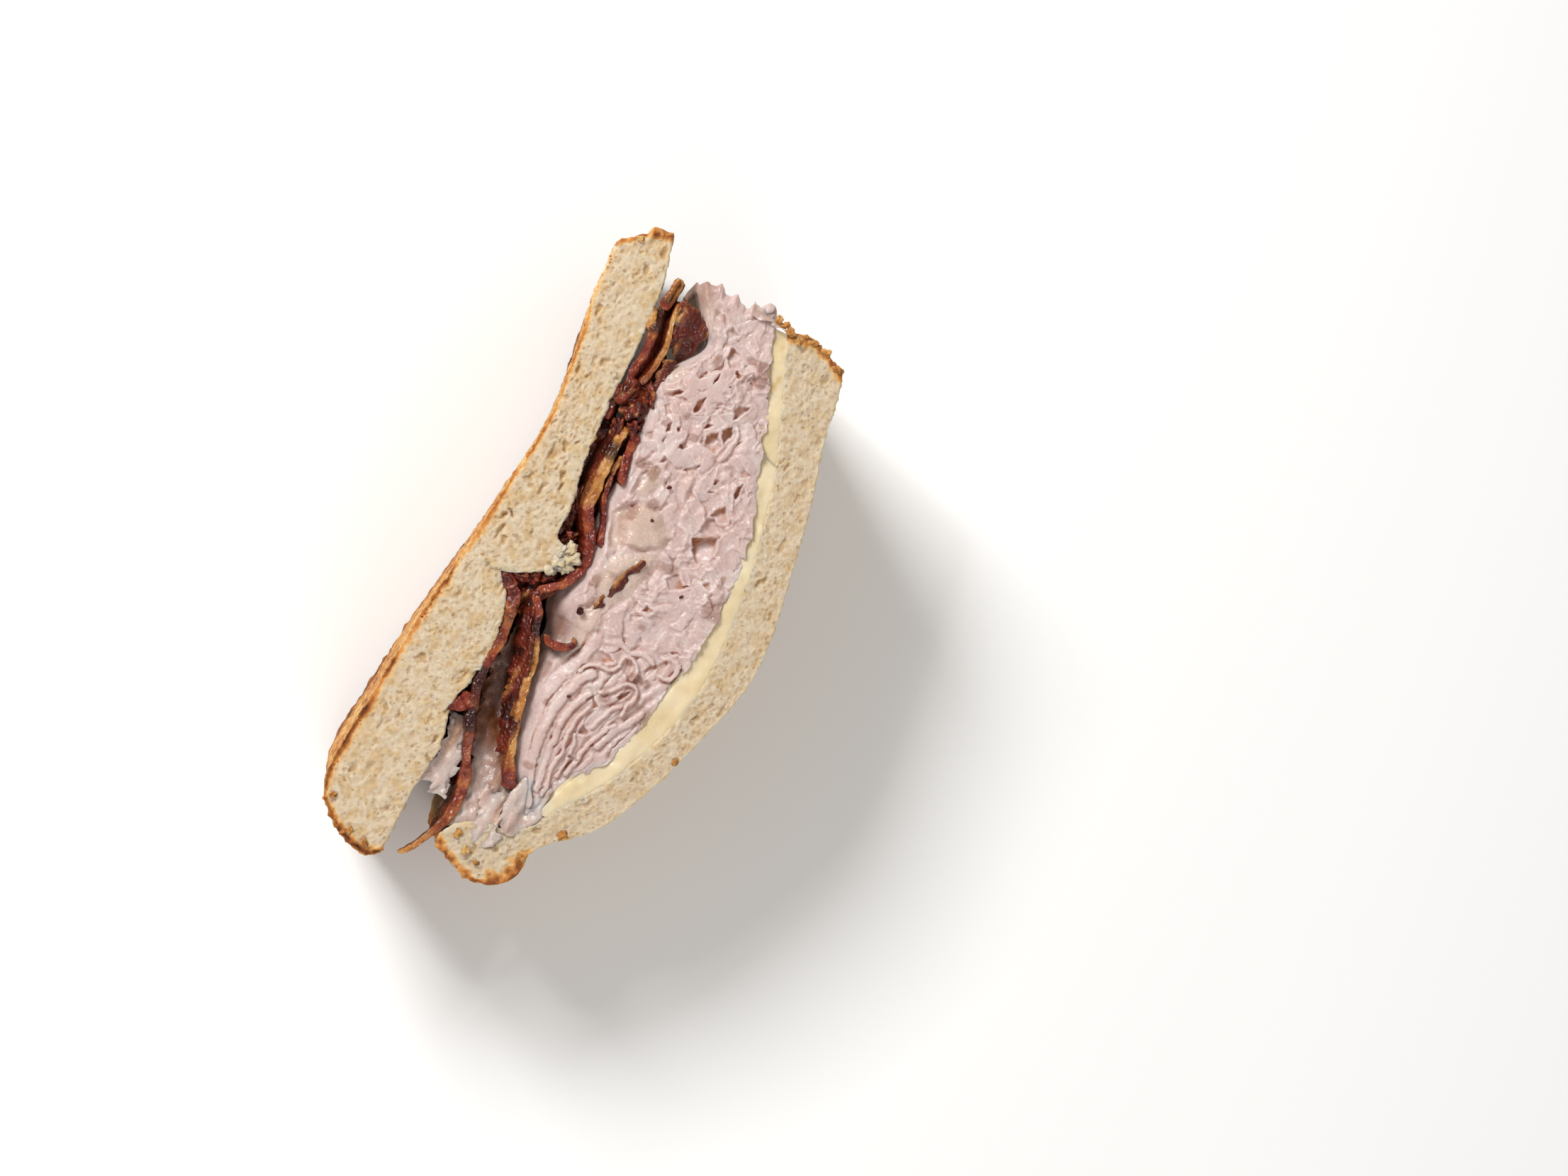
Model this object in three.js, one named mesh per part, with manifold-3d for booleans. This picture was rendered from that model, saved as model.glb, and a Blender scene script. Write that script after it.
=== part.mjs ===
// Half of a grilled turkey, bacon and cheese sandwich, lying on its uncut crust edge with the cut face up.
// Millimetres. Every piece is drawn on the cut face and carried down through the food:
//   u runs along the cut, v across the stack from the grilled slice to the soft slice,
//   q is the depth as a share of the way from the cut face (0) to the crust edge (1).
import * as THREE from "three";
import { mergeVertices } from "three/addons/utils/BufferGeometryUtils.js";
import Module from "manifold-3d";

const wasm = await Module();
wasm.setup();

// ---- driving sizes ----
const CUT_DEPTH = 58; // cut face to crust edge at the middle of the cut
const CUT_SKEW = THREE.MathUtils.degToRad(8); // the cut runs a little askew to the crust edge
const CUT_MIDDLE = -3; // u of the middle of the cut
const HALF_LENGTH = 64;
const LOAF_CORNER = 12; // radius of the slice's corners, seen on its broad face
const CRUST_ROUND = 0.72; // share of the thickness left flat on the crust edge
const CRUST_START = 0.96; // q where that rounding starts
const GAP = 0.4; // clearance between pieces that touch
const SLIVER = 0.02; // edges shorter than this are taken out after a cut
const GRILLED_SIDE = -5; // v where the squeeze of the grilled slice is whole
const FILLING_SPAN = 40; // v from there to the soft slice
const LEAN_PER_MM = 0.03; // how far the grilled slice leans out towards its low end
const GATHER_ENDS = 6; // how far the soft slice closes in at the crust edge, at its ends
const GATHER_MIDDLE = 6; // and how much more at the middle
const CHEESE_DEPTH = 0.93; // how far down the layers reach, as q
const TURKEY_DEPTH = 0.9;
const SHEET_DEPTH = 0.8;
const BACON_DEPTH = 0.78;
const TURKEY_TOP = 0.025; // q of the turkey's core, below its folds' edges
const FOLD_DEPTH = 0.09;
const FOLD_HALF = 0.65; // half the thickness of a fold of turkey

// ---- the slices' and layers' edges on the cut face, as (u, v) ----
const GRILLED_OUTER = [[-67, -9], [-62.8, -15.8], [-57.6, -17.6], [-49.8, -17.6], [-39.4, -17.2],
  [-25, -16.6], [-10, -15.2], [5, -14.2], [20, -13.4], [33, -15], [45, -17.4], [55.4, -18.4]];
const GRILLED_INNER = [[58.2, -15.6], [60.8, -12.4], [61.6, -10], [53.6, -7.4], [40, -6], [27, -5.2],
  [15, -4.3], [6.7, -2.2], [-0.6, -1.2]];
const CRUMB_FLAP = [[0.3, 2.4], [-1.4, 3.6], [-3.6, 2.8], [-5.4, -0.4], [-7.6, -3.5], [-9, -7.6]];
const GRILLED_INNER_LOW = [[-12.6, -5.2], [-19.7, -3], [-29, -2.6], [-35.7, -3.9], [-43.4, -1.8],
  [-54, -2.2], [-66.5, -1.6], [-68.6, -3.5]];
const SOFT_OUTER = [[57, 18.4], [57, 22.4], [54.5, 30.9], [47.6, 32.8], [39.5, 34.6], [30.7, 37.4],
  [17.4, 40.6], [3, 43.5], [-5, 44], [-17.2, 41.5], [-30, 37.9], [-43.5, 32], [-49, 26.4],
  [-53.4, 23], [-58, 22.9], [-61.5, 20.5], [-63.2, 17.5], [-62, 11.5]];
const SOFT_END_INNER = [[-60.5, 7.2], [-58, 6.6], [-55, 8.6], [-52.4, 13], [-51.8, 17.6], [-49.6, 20.9]];
const CHEESE_OUTER = [[56, 18.2], [47.4, 21.9], [39.5, 25.6], [29.2, 29.5], [17, 33], [4.6, 35.3],
  [-8, 36.4], [-19.3, 35], [-28.4, 32.1], [-36.2, 28.7], [-45, 22.6]];
const CHEESE_INNER = [[56, 14.4], [47.6, 17.5], [40.2, 21], [31, 24.6], [21.2, 28.8], [9.3, 31.2],
  [-4, 31.6], [-16.8, 30.2], [-29.4, 27.2], [-38.2, 22.4], [-45, 20.8]];
const CHEESE_JOINT = [34, 31.6]; // u of the joint between the two cheese slices, inner and outer side
const TURKEY_INNER = [[-48.6, 18.4], [-44, 15.6], [-37.3, 12.2], [-30.4, 10.4], [-23.1, 9.2], [-14.5, 10.4],
  [-8.7, 6.8], [1.6, 6.4], [9.5, 4.8], [17, 4.6], [25.5, 2.4], [37, 1.6], [46.4, 6.4], [50.6, 2.8],
  [55.6, -1.4]];
const TURKEY_END = [[57.4, 3.1], [56.7, 8.6], [58.6, 13.6]];

// ---- the bacon strips' middle lines on the cut face, half thickness, slide of v with depth,
// and the depths where they start and end ----
const BACON = {
  bacon_long: { line: [[24.2, -0.7], [16, -0.9], [8.7, 0.2], [3.8, 4], [-0.6, 5.7], [-5.6, 4.2], [-9.6, 0.9],
    [-13.4, 2.8], [-21, 6.4], [-30.3, 9], [-39, 12], [-44.6, 15]], half: 1.05, slide: -3 },
  bacon_hanging: { line: [[-9.8, -6], [-12.4, -2.7], [-17, -1.5], [-25.5, -1.2], [-32.9, -0.2], [-39.6, 2.6],
    [-46.7, 5.3], [-54, 5.6], [-60.4, 4.2], [-65.2, 1.4]], half: 1.0, slide: -0.4 },
  bacon_upper: { line: [[54.9, -4.9], [47.6, -4.9], [41, -3.9], [35, -3.9]], half: 0.85, slide: 0.5 },
  bacon_broad: { line: [[51.6, -2.6], [45.8, -1.9], [40, -0.1], [34, -0.6]], half: 0.75, slide: 1.5,
    depth: 0.22, flare: 3.6 },
  bacon_knot: { line: [[31.6, -3.2], [29.6, -1.6], [29, 0.6], [26.6, 1.6]], half: 1.2, slide: 0, depth: 0.4 },
  bacon_short: { line: [[23.6, 2.4], [19.4, 2.9], [15.8, 4.4]], half: 0.8, slide: 0, depth: 0.3 },
  bacon_under: { line: [[16.4, 1.4], [12.5, 1.6], [8.6, 4.2], [3, 7.8]], half: 0.6, slide: 0, depth: 0.3 },
  bacon_bit_slanted: { line: [[5, 14.3], [1.6, 12.7], [-2.5, 12.1], [-7.4, 11.6]], half: 0.9, slide: 0,
    top: -0.012, depth: 0.035 },
  bacon_bit_curled: { line: [[-17.3, 6.9], [-16.8, 8.6], [-15.9, 10.2], [-14.4, 11.4]], half: 0.8, slide: 0,
    top: -0.012, depth: 0.035 },
};
const BACON_LOBE = { line: [[-34, -0.8], [-35.8, -2], [-36.6, -3.4]], half: 1.1, slide: -1, depth: 0.3 };

// ---- frame of the cut ----
const clamp01 = (x) => Math.min(1, Math.max(0, x));
const crustDepth = (u) => CUT_DEPTH + Math.tan(CUT_SKEW) * u;

// The place of a point of the cut face once it is carried down: the slices lean and close in,
// and the loaf's corners are round.
function seat(u, v, q) {
  const corner = LOAF_CORNER / CUT_DEPTH;
  const over = Math.max(0, q - (1 - corner)) / corner;
  const inset = LOAF_CORNER * (1 - Math.sqrt(1 - Math.min(1, over) ** 2));
  const along = CUT_MIDDLE + (u - CUT_MIDDLE) * (1 - inset / HALF_LENGTH);
  const share = clamp01((v - GRILLED_SIDE) / FILLING_SPAN);
  const lean = LEAN_PER_MM * u;
  const gather = GATHER_ENDS + GATHER_MIDDLE * Math.cos((Math.PI * u) / (2 * HALF_LENGTH + 8));
  const across = v + Math.max(0, q) ** 1.5 * ((1 - share) * lean - share * gather);
  return new THREE.Vector3(along, -across, -q * crustDepth(along));
}

// ---- outlines ----
function smooth(points, count, closed = false) {
  const curve = new THREE.CatmullRomCurve3(
    points.map(([u, v]) => new THREE.Vector3(u, v, 0)), closed, "centripetal");
  const spaced = curve.getSpacedPoints(closed ? count : count - 1);
  if (closed) spaced.pop();
  return spaced.map((p) => [p.x, p.y]);
}

const reversed = (points) => [...points].reverse();
const shifted = (points, dv) => points.map(([u, v]) => [u, v + dv]);

// v of an edge at u, for an edge that runs one way along u.
function edgeAt(points, u) {
  const fine = smooth(points, 80).sort((a, b) => a[0] - b[0]);
  const next = fine.findIndex((p) => p[0] >= u);
  if (next < 0) return fine[fine.length - 1][1];
  if (next === 0) return fine[0][1];
  const [a, b] = [fine[next - 1], fine[next]];
  return THREE.MathUtils.lerp(a[1], b[1], (u - a[0]) / (b[0] - a[0]));
}

// The two sides of a strip round its middle line, a little uneven and narrower at its ends,
// with as much extra all round as is asked for.
const [UNEVEN, UNEVEN_STEP, NARROW_END] = [0.16, 1.9, 0.55];
function ribbonOutline(line, half, count, extra = 0) {
  const middle = smooth(line, count);
  const side = (sign) => middle.map(([u, v], i) => {
    const [before, after] = [middle[Math.max(0, i - 1)], middle[Math.min(count - 1, i + 1)]];
    const [du, dv] = [after[0] - before[0], after[1] - before[1]];
    const length = Math.hypot(du, dv);
    const end = Number(i === count - 1) - Number(i === 0);
    const uneven = 1 + UNEVEN * Math.sin(i * UNEVEN_STEP + line.length);
    const out = (sign * (half * uneven * (end ? NARROW_END : 1) + extra)) / length;
    const on = (end * extra) / length;
    return [u + du * on - dv * out, v + dv * on + du * out];
  });
  return [...side(1), ...reversed(side(-1))];
}

// ---- solids ----
// One closed body from rings of points that lie one below the other.
function loft(rings) {
  const size = rings[0].length;
  if (THREE.ShapeUtils.area(rings[0]) < 0) rings.forEach((ring) => ring.reverse());
  const cap = THREE.ShapeUtils.triangulateShape(rings[0].map((p) => new THREE.Vector2(p.x, p.y)), []);
  const corners = rings.flat().flatMap((p) => [p.x, p.y, p.z]);
  const faces = [];
  for (let ring = 0; ring < rings.length - 1; ring++) {
    for (let i = 0; i < size; i++) {
      const [a, b] = [ring * size + i, ring * size + ((i + 1) % size)];
      faces.push(a, a + size, b, b, a + size, b + size);
    }
  }
  const last = (rings.length - 1) * size;
  for (const [a, b, c] of cap) {
    faces.push(a, b, c);
    faces.push(last + a, last + c, last + b);
  }
  return facingOut(new Float32Array(corners), new Uint32Array(faces));
}

function facingOut(corners, faces) {
  let volume = 0;
  const at = (i) => new THREE.Vector3().fromArray(corners, 3 * faces[i]);
  for (let i = 0; i < faces.length; i += 3) volume += at(i).dot(at(i + 1).cross(at(i + 2)));
  if (volume < 0) faces.reverse();
  return { corners, faces };
}

const solid = ({ corners, faces }) =>
  new wasm.Manifold(new wasm.Mesh({ numProp: 3, vertProperties: corners, triVerts: faces }));

// The largest body of a solid that a cut may have left with loose scraps and slivers.
function largest(shape) {
  const bodies = shape.simplify(SLIVER).decompose();
  return bodies.reduce((best, body) => (body.volume() > best.volume() ? body : best));
}

function geometryOf({ corners, faces }) {
  const geometry = new THREE.BufferGeometry();
  geometry.setAttribute("position", new THREE.BufferAttribute(corners, 3));
  geometry.setIndex(new THREE.BufferAttribute(faces, 1));
  return mergeVertices(geometry, 1e-4);
}

function geometryOfSolid(shape) {
  const mesh = shape.getMesh();
  return geometryOf({ corners: mesh.vertProperties, faces: mesh.triVerts });
}

// An outline carried down from one depth to another. Its place may slide with depth.
function carried(outline, depths, slide = () => 0) {
  return loft(depths.map((q) => outline.map(([u, v]) => seat(u, v + slide(u, q), q))));
}

const steps = (from, to, count) =>
  Array.from({ length: count + 1 }, (_, i) => from + ((to - from) * i) / count);

// ---- bread ----
// A slice: its crust edge at the back is rounded over the last few millimetres.
function slice(outline) {
  const reach = 6; // how far along the cut the thickness is looked at
  const middleOf = (u) => {
    const near = outline.filter((p) => Math.abs(p[0] - u) < reach).map((p) => p[1]);
    return (Math.min(...near) + Math.max(...near)) / 2;
  };
  const middles = outline.map(([u]) => middleOf(u));
  const depths = [...steps(0, 1 - LOAF_CORNER / CUT_DEPTH, 4), 0.87, 0.93, 0.97, 1];
  const last = 0.9999; // the rings stay apart at the crust edge
  const rings = depths.map((q) => {
    const flat = THREE.MathUtils.lerp(1, CRUST_ROUND, clamp01((q - CRUST_START) / (1 - CRUST_START)));
    return outline.map(([u, v], i) => seat(u, middles[i] + (v - middles[i]) * flat, Math.min(q, last)));
  });
  return loft(rings);
}

const grilledOutline = [
  ...smooth(GRILLED_OUTER, 26),
  ...smooth([...GRILLED_INNER, ...CRUMB_FLAP, ...GRILLED_INNER_LOW], 52),
];
const softOutline = [
  ...smooth([...shifted(CHEESE_OUTER.slice(0, -1), GAP / 2), [-43.5, 24]], 24),
  ...smooth([...reversed(SOFT_END_INNER), ...reversed(SOFT_OUTER)], 44),
];

// ---- cheese ----
function cheese(from, to) {
  const count = 14;
  const inner = steps(from[0], to[0], count).map((u) => [u, edgeAt(CHEESE_INNER, u)]);
  const outer = steps(from[1], to[1], count).map((u) => [u, edgeAt(CHEESE_OUTER, u) - GAP / 2]);
  return carried([...inner, ...reversed(outer)], steps(0, CHEESE_DEPTH, 4));
}

// ---- bacon ----
// A strip slides sideways with depth below the crumb flap, and a flared one at its high end.
const [SLIDE_FROM, SLIDE_OVER] = [-6, 10]; // u where the slide starts, and how far it takes to be whole
const [FLARE_FROM, FLARE_OVER] = [34, 12];
const POINTS_PER_CORNER = 2.2;
function strip({ line, half, slide, top = 0, depth = BACON_DEPTH, flare = 0 }, extra = 0) {
  const count = Math.max(5, Math.round(line.length * POINTS_PER_CORNER));
  const outline = ribbonOutline(line, half, count, extra);
  const slideAt = (u, q) => {
    const slid = slide * clamp01((SLIDE_FROM - u) / SLIDE_OVER);
    const flared = flare * clamp01((u - FLARE_FROM) / FLARE_OVER);
    return (slid + flared) * (q / depth);
  };
  const spare = extra / CUT_DEPTH;
  return solid(carried(outline, steps(top - 3 * spare, depth + spare, 3), slideAt));
}

function wholeStrip(name, extra = 0) {
  const whole = strip(BACON[name], extra);
  if (name !== "bacon_hanging") return whole;
  return whole.add(strip(BACON_LOBE, extra));
}

// What is left of a solid once the named strips have their room in it.
function roomFor(names, shape) {
  return largest(names.reduce((left, name) => left.subtract(wholeStrip(name, GAP)), shape));
}

function bacon(name) {
  const names = Object.keys(BACON);
  return roomFor(names.slice(0, names.indexOf(name)), wholeStrip(name));
}

// ---- turkey ----
// Shaved slices in folds: a core, with the folds' edges standing out of it on the cut face.
function turkeyCore() {
  const cheeseSide = steps(56, -45, 24).map((u) => [u, edgeAt(CHEESE_INNER, u) - GAP]);
  const outline = [
    ...smooth(TURKEY_INNER, 40),
    ...smooth(TURKEY_END, 6),
    ...cheeseSide,
  ];
  return solid(carried(outline, steps(TURKEY_TOP, TURKEY_DEPTH, 3)));
}

// A fold's edge: a strip that waves about the line between two places on the cut face.
function fold(from, to, waves, swing, phase) {
  const line = steps(0, 1, 10).map((t) => {
    const [u, v] = [THREE.MathUtils.lerp(from[0], to[0], t), THREE.MathUtils.lerp(from[1], to[1], t)];
    const [du, dv] = [to[0] - from[0], to[1] - from[1]];
    const off = (swing * Math.sin(Math.PI * 2 * waves * t + phase)) / Math.hypot(du, dv);
    return [u - dv * off, v + du * off];
  });
  return solid(carried(ribbonOutline(line, FOLD_HALF, 14), [0, FOLD_DEPTH]));
}

// Low clump: folds fan out from the low end of the filling and run along the cut.
function lowFolds() {
  return steps(0, 1, 5).map((t, i) =>
    fold([-43 + 3 * t, 17.6 + 2 * t], [-9 - 3 * t, 12.6 + 14 * t], 1, 0.7, i * 2.1));
}

// High clump: folds run across the filling, from the bacon to the cheese.
function highFolds() {
  return steps(52, 0, 9).map((u, i) => {
    const high = edgeAt(CHEESE_INNER, u) - 2.2;
    const low = u > 40 ? 8.4 : edgeAt(TURKEY_INNER.slice(0, 12), u) + 2.6;
    return fold([u - 1.6, low], [u + 1.4, high], 1.4, 0.9, i * 1.7);
  });
}

function turkey() {
  const folded = [...lowFolds(), ...highFolds()].reduce((sum, one) => sum.add(one), turkeyCore());
  return roomFor(Object.keys(BACON), folded);
}

// Sheets of turkey that hang between the long strips and beside the lower one, below the cut.
function sheetBetween(near, far, from, to, topAt) {
  const count = 12;
  const first = steps(from, to, count).map((u) => [u, near(u)]);
  const second = steps(from, to, count).map((u) => [u, far(u)]);
  const outline = [...first, ...reversed(second)];
  const rings = [0, 0.5, 1].map((t) => outline.map(([u, v]) => {
    const q = THREE.MathUtils.lerp(topAt(u), SHEET_DEPTH, t);
    return seat(u, v, q);
  }));
  return roomFor(["bacon_long", "bacon_hanging"], solid(loft(rings)));
}

function lowSheet() {
  const near = (u) => edgeAt(BACON.bacon_hanging.line, u) + 1.6;
  const far = (u) => Math.min(edgeAt(BACON.bacon_long.line, u), 10.5) - 1.8;
  return sheetBetween(near, far, -19, -53.5, (u) => THREE.MathUtils.lerp(0.06, 0.34, (u + 53.5) / 34.5));
}

function sideSheet() {
  const near = (u) => edgeAt(GRILLED_INNER_LOW.slice(0, 7), u) + 0.9;
  const far = (u) => edgeAt(BACON.bacon_hanging.line, u) - 1.6;
  return sheetBetween(near, far, -38.6, -50, () => 0.14);
}

// ---- the sandwich ----
const MATERIALS = {
  bread: new THREE.MeshStandardMaterial({ color: 0xe9d6a6, roughness: 0.9, metalness: 0 }),
  soft_bread: new THREE.MeshStandardMaterial({ color: 0xe3cfa8, roughness: 0.92, metalness: 0 }),
  cheese: new THREE.MeshStandardMaterial({ color: 0xf0dc9c, roughness: 0.42, metalness: 0 }),
  turkey: new THREE.MeshStandardMaterial({ color: 0xe8cdc4, roughness: 0.45, metalness: 0 }),
  bacon: new THREE.MeshStandardMaterial({ color: 0x7a2f16, roughness: 0.35, metalness: 0 }),
};

const sandwich = new THREE.Group();
sandwich.rotation.y = -CUT_SKEW; // lays the crust edge flat; the cut face then rises a little along +x

function add(name, material, geometry) {
  const mesh = new THREE.Mesh(geometry, MATERIALS[material]);
  mesh.name = name;
  sandwich.add(mesh);
}

add("bread_top", "bread", geometryOfSolid(roomFor(Object.keys(BACON), solid(slice(grilledOutline)))));
add("bread_bottom", "soft_bread", geometryOf(slice(softOutline)));
add("cheese_upper", "cheese", geometryOf(cheese([CHEESE_JOINT[0] + 1, CHEESE_JOINT[1] + 1], [55, 55.4])));
add("cheese_lower", "cheese", geometryOf(cheese([-43.5, -43.5], CHEESE_JOINT)));
add("turkey", "turkey", geometryOfSolid(turkey()));
add("turkey_sheet_low", "turkey", geometryOfSolid(lowSheet()));
add("turkey_sheet_side", "turkey", geometryOfSolid(sideSheet()));
for (const name of Object.keys(BACON)) add(name, "bacon", geometryOfSolid(bacon(name)));

// Stands the sandwich on the ground with its middle over the origin.
const part = new THREE.Group();
part.add(sandwich);
part.updateMatrixWorld(true);
const box = new THREE.Box3().setFromObject(sandwich, true);
const middle = box.getCenter(new THREE.Vector3());
sandwich.position.set(-middle.x, -middle.y, -box.min.z);

export default part;
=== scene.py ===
# Half of a grilled turkey, bacon and cheese sandwich, lying on its crust edge and seen from above its cut.
# Shapes are worked out in millimetres on the cut face: u along the cut, v across the stack from the grilled
# slice to the soft slice, q the depth as a share of the way down to the crust edge.
import math

import bpy
import numpy as np
from mathutils import Matrix, Vector


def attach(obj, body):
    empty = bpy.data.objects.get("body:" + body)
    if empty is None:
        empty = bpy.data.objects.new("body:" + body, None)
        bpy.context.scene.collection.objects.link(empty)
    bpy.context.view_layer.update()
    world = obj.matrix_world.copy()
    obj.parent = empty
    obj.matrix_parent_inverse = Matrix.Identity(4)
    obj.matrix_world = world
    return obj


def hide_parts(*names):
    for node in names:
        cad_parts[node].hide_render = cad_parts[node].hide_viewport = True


MM = 0.001
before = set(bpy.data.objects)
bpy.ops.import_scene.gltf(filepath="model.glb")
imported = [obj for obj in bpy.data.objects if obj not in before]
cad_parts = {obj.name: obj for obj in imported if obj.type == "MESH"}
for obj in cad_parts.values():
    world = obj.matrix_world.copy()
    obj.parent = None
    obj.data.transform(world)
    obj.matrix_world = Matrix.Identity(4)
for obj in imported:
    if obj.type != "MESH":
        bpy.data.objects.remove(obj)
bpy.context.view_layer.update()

# ---- driving sizes, millimetres, as in the solids ----
CUT_DEPTH = 58.0
CUT_SKEW = math.radians(8)
CUT_MIDDLE = -3.0
HALF_LENGTH = 64.0
LOAF_CORNER = 12.0
SLICE_THICK = 13.0
CRUST_START = 0.96  # share of the depth where the slices start to round in towards the crust edge
CRUST_ROUND = 0.72
GRILLED_SIDE = -5.0
FILLING_SPAN = 40.0
LEAN_PER_MM = 0.03
GATHER_ENDS = 6.0
GATHER_MIDDLE = 6.0
CHEESE_DEPTH, TURKEY_DEPTH, SHEET_DEPTH, BACON_DEPTH = 0.93, 0.9, 0.8, 0.78  # shares of the half's depth
CUT_ORIGIN = np.array([-0.23, 12.40, 57.43])  # where u = v = 0 on the cut lies in the part's frame

# ---- noise, all of it seeded ----


def hashed(ix, iy, iz, seed):
    n = (ix.astype(np.int64) * 374761393 + iy.astype(np.int64) * 668265263
         + iz.astype(np.int64) * 1440662683 + seed * 974711) & 0xFFFFFFFF
    n = ((n ^ (n >> 13)) * 1274126177) & 0xFFFFFFFF
    n = ((n ^ (n >> 15)) * 2246822519) & 0xFFFFFFFF
    return (n ^ (n >> 16)) / 4294967296.0


def noise(x, y, z=0.0, seed=0):
    """Smooth value noise from -1 to 1."""
    x, y, z = np.broadcast_arrays(np.asarray(x, float), np.asarray(y, float), np.asarray(z, float))
    fx, fy, fz = np.floor(x), np.floor(y), np.floor(z)
    ax, ay, az = x - fx, y - fy, z - fz
    ease = [a * a * a * (a * (a * 6 - 15) + 10) for a in (ax, ay, az)]
    total = 0.0
    for dx in (0, 1):
        for dy in (0, 1):
            for dz in (0, 1):
                share = ((ease[0] if dx else 1 - ease[0]) * (ease[1] if dy else 1 - ease[1])
                         * (ease[2] if dz else 1 - ease[2]))
                total = total + share * hashed(fx + dx, fy + dy, fz + dz, seed)
    return total * 2 - 1


def fbm(x, y, z=0.0, octaves=3, seed=0):
    """Noise with finer and weaker noise added, octave by octave."""
    return sum(noise(x * 2**k, y * 2**k, z * 2**k, seed + 7 * k) / 2**k for k in range(octaves))


def warped(u, v, *terms):
    """The places u and v pushed about by noises, each given by its strength, its size and its seed."""
    push_u = sum(strength * noise(u / size, v / size, 0, seed) for strength, size, seed in terms)
    push_v = sum(strength * noise(u / size, v / size, 5, seed) for strength, size, seed in terms)
    return u + push_u, v + push_v


def cells(x, y, seed):
    """The distance to the nearest of scattered points, and that point's own random number."""
    fx, fy = np.floor(x), np.floor(y)
    near = np.full(np.shape(x), 9.0)
    name = np.zeros(np.shape(x))
    zero = np.zeros_like(fx)
    for dx in (-1, 0, 1):
        for dy in (-1, 0, 1):
            px = fx + dx + 0.1 + 0.8 * hashed(fx + dx, fy + dy, zero, seed)
            py = fy + dy + 0.1 + 0.8 * hashed(fx + dx, fy + dy, zero, seed + 1)
            own = hashed(fx + dx, fy + dy, zero, seed + 2)
            far = np.hypot(px - x, py - y)
            name = np.where(far < near, own, name)
            near = np.minimum(near, far)
    return near, name


def ramp(x, low, high):
    a = np.clip((x - low) / (high - low), 0, 1)
    return a * a * (3 - 2 * a)


# ---- the frame of the cut ----


def seat(u, v, q):
    """A point of the cut face carried down by q: leaned, gathered and rounded as in the solids. In metres."""
    corner = LOAF_CORNER / CUT_DEPTH
    over = np.clip((q - (1 - corner)) / corner, 0, 1)
    inset = LOAF_CORNER * (1 - np.sqrt(1 - over**2))
    along = CUT_MIDDLE + (u - CUT_MIDDLE) * (1 - inset / HALF_LENGTH)
    share = np.clip((v - GRILLED_SIDE) / FILLING_SPAN, 0, 1)
    gather = GATHER_ENDS + GATHER_MIDDLE * np.cos(math.pi * u / (2 * HALF_LENGTH + 8))
    across = v + np.maximum(q, 0) ** 1.5 * ((1 - share) * LEAN_PER_MM * u - share * gather)
    down = -q * (CUT_DEPTH + math.tan(CUT_SKEW) * along)
    cos, sin = math.cos(CUT_SKEW), math.sin(CUT_SKEW)
    placed = np.stack([along * cos - down * sin, -across, along * sin + down * cos], -1)
    return (placed + CUT_ORIGIN) * MM


def smooth(points, count=200):
    """A centripetal Catmull-Rom curve through the points, evenly spaced."""
    p = np.asarray(points, float)
    p = np.vstack([2 * p[0] - p[1], p, 2 * p[-1] - p[-2]])
    out = []
    for i in range(1, len(p) - 2):
        a, b, c, d = p[i - 1:i + 3]
        t0 = 0.0
        t1 = t0 + math.sqrt(np.linalg.norm(b - a))
        t2 = t1 + math.sqrt(np.linalg.norm(c - b))
        t3 = t2 + math.sqrt(np.linalg.norm(d - c))
        t = np.linspace(t1, t2, 24, endpoint=False)[:, None]
        ab = (t1 - t) / (t1 - t0) * a + (t - t0) / (t1 - t0) * b
        bc = (t2 - t) / (t2 - t1) * b + (t - t1) / (t2 - t1) * c
        cd = (t3 - t) / (t3 - t2) * c + (t - t2) / (t3 - t2) * d
        abc = (t2 - t) / (t2 - t0) * ab + (t - t0) / (t2 - t0) * bc
        bcd = (t3 - t) / (t3 - t1) * bc + (t - t1) / (t3 - t1) * cd
        out.append((t2 - t) / (t2 - t1) * abc + (t - t1) / (t2 - t1) * bcd)
    fine = np.vstack(out + [p[-2:-1]])
    length = np.concatenate([[0], np.cumsum(np.linalg.norm(np.diff(fine, axis=0), axis=1))])
    even = np.linspace(0, length[-1], count)
    return np.stack([np.interp(even, length, fine[:, k]) for k in range(fine.shape[1])], -1)


def at(curve, share):
    """Point of an evenly spaced curve at a share of its length."""
    return np.stack([np.interp(share, even(len(curve)), curve[:, k]) for k in range(curve.shape[1])], -1)


def by_u(points, count=300):
    """The curve through the points, spaced evenly along u, for an edge that runs one way."""
    fine = smooth(points, 900)
    fine = fine[np.argsort(fine[:, 0])]
    u = np.linspace(fine[0, 0], fine[-1, 0], count)
    return np.stack([u, np.interp(u, fine[:, 0], fine[:, 1])], -1)


def patch(low_side, high_side, start, end, s, t):
    """(u, v) inside four edge curves. s runs along the sides, t from the low side to the high side."""
    s, t = np.asarray(s)[..., None], np.asarray(t)[..., None]
    sides = (1 - t) * at(low_side, s[..., 0]) + t * at(high_side, s[..., 0])
    ends = (1 - s) * at(start, t[..., 0]) + s * at(end, t[..., 0])
    corners = ((1 - s) * (1 - t) * low_side[0] + s * (1 - t) * low_side[-1]
               + (1 - s) * t * high_side[0] + s * t * high_side[-1])
    return sides + ends - corners


# ---- meshes ----


def even(count):
    return np.linspace(0, 1, count)


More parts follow.
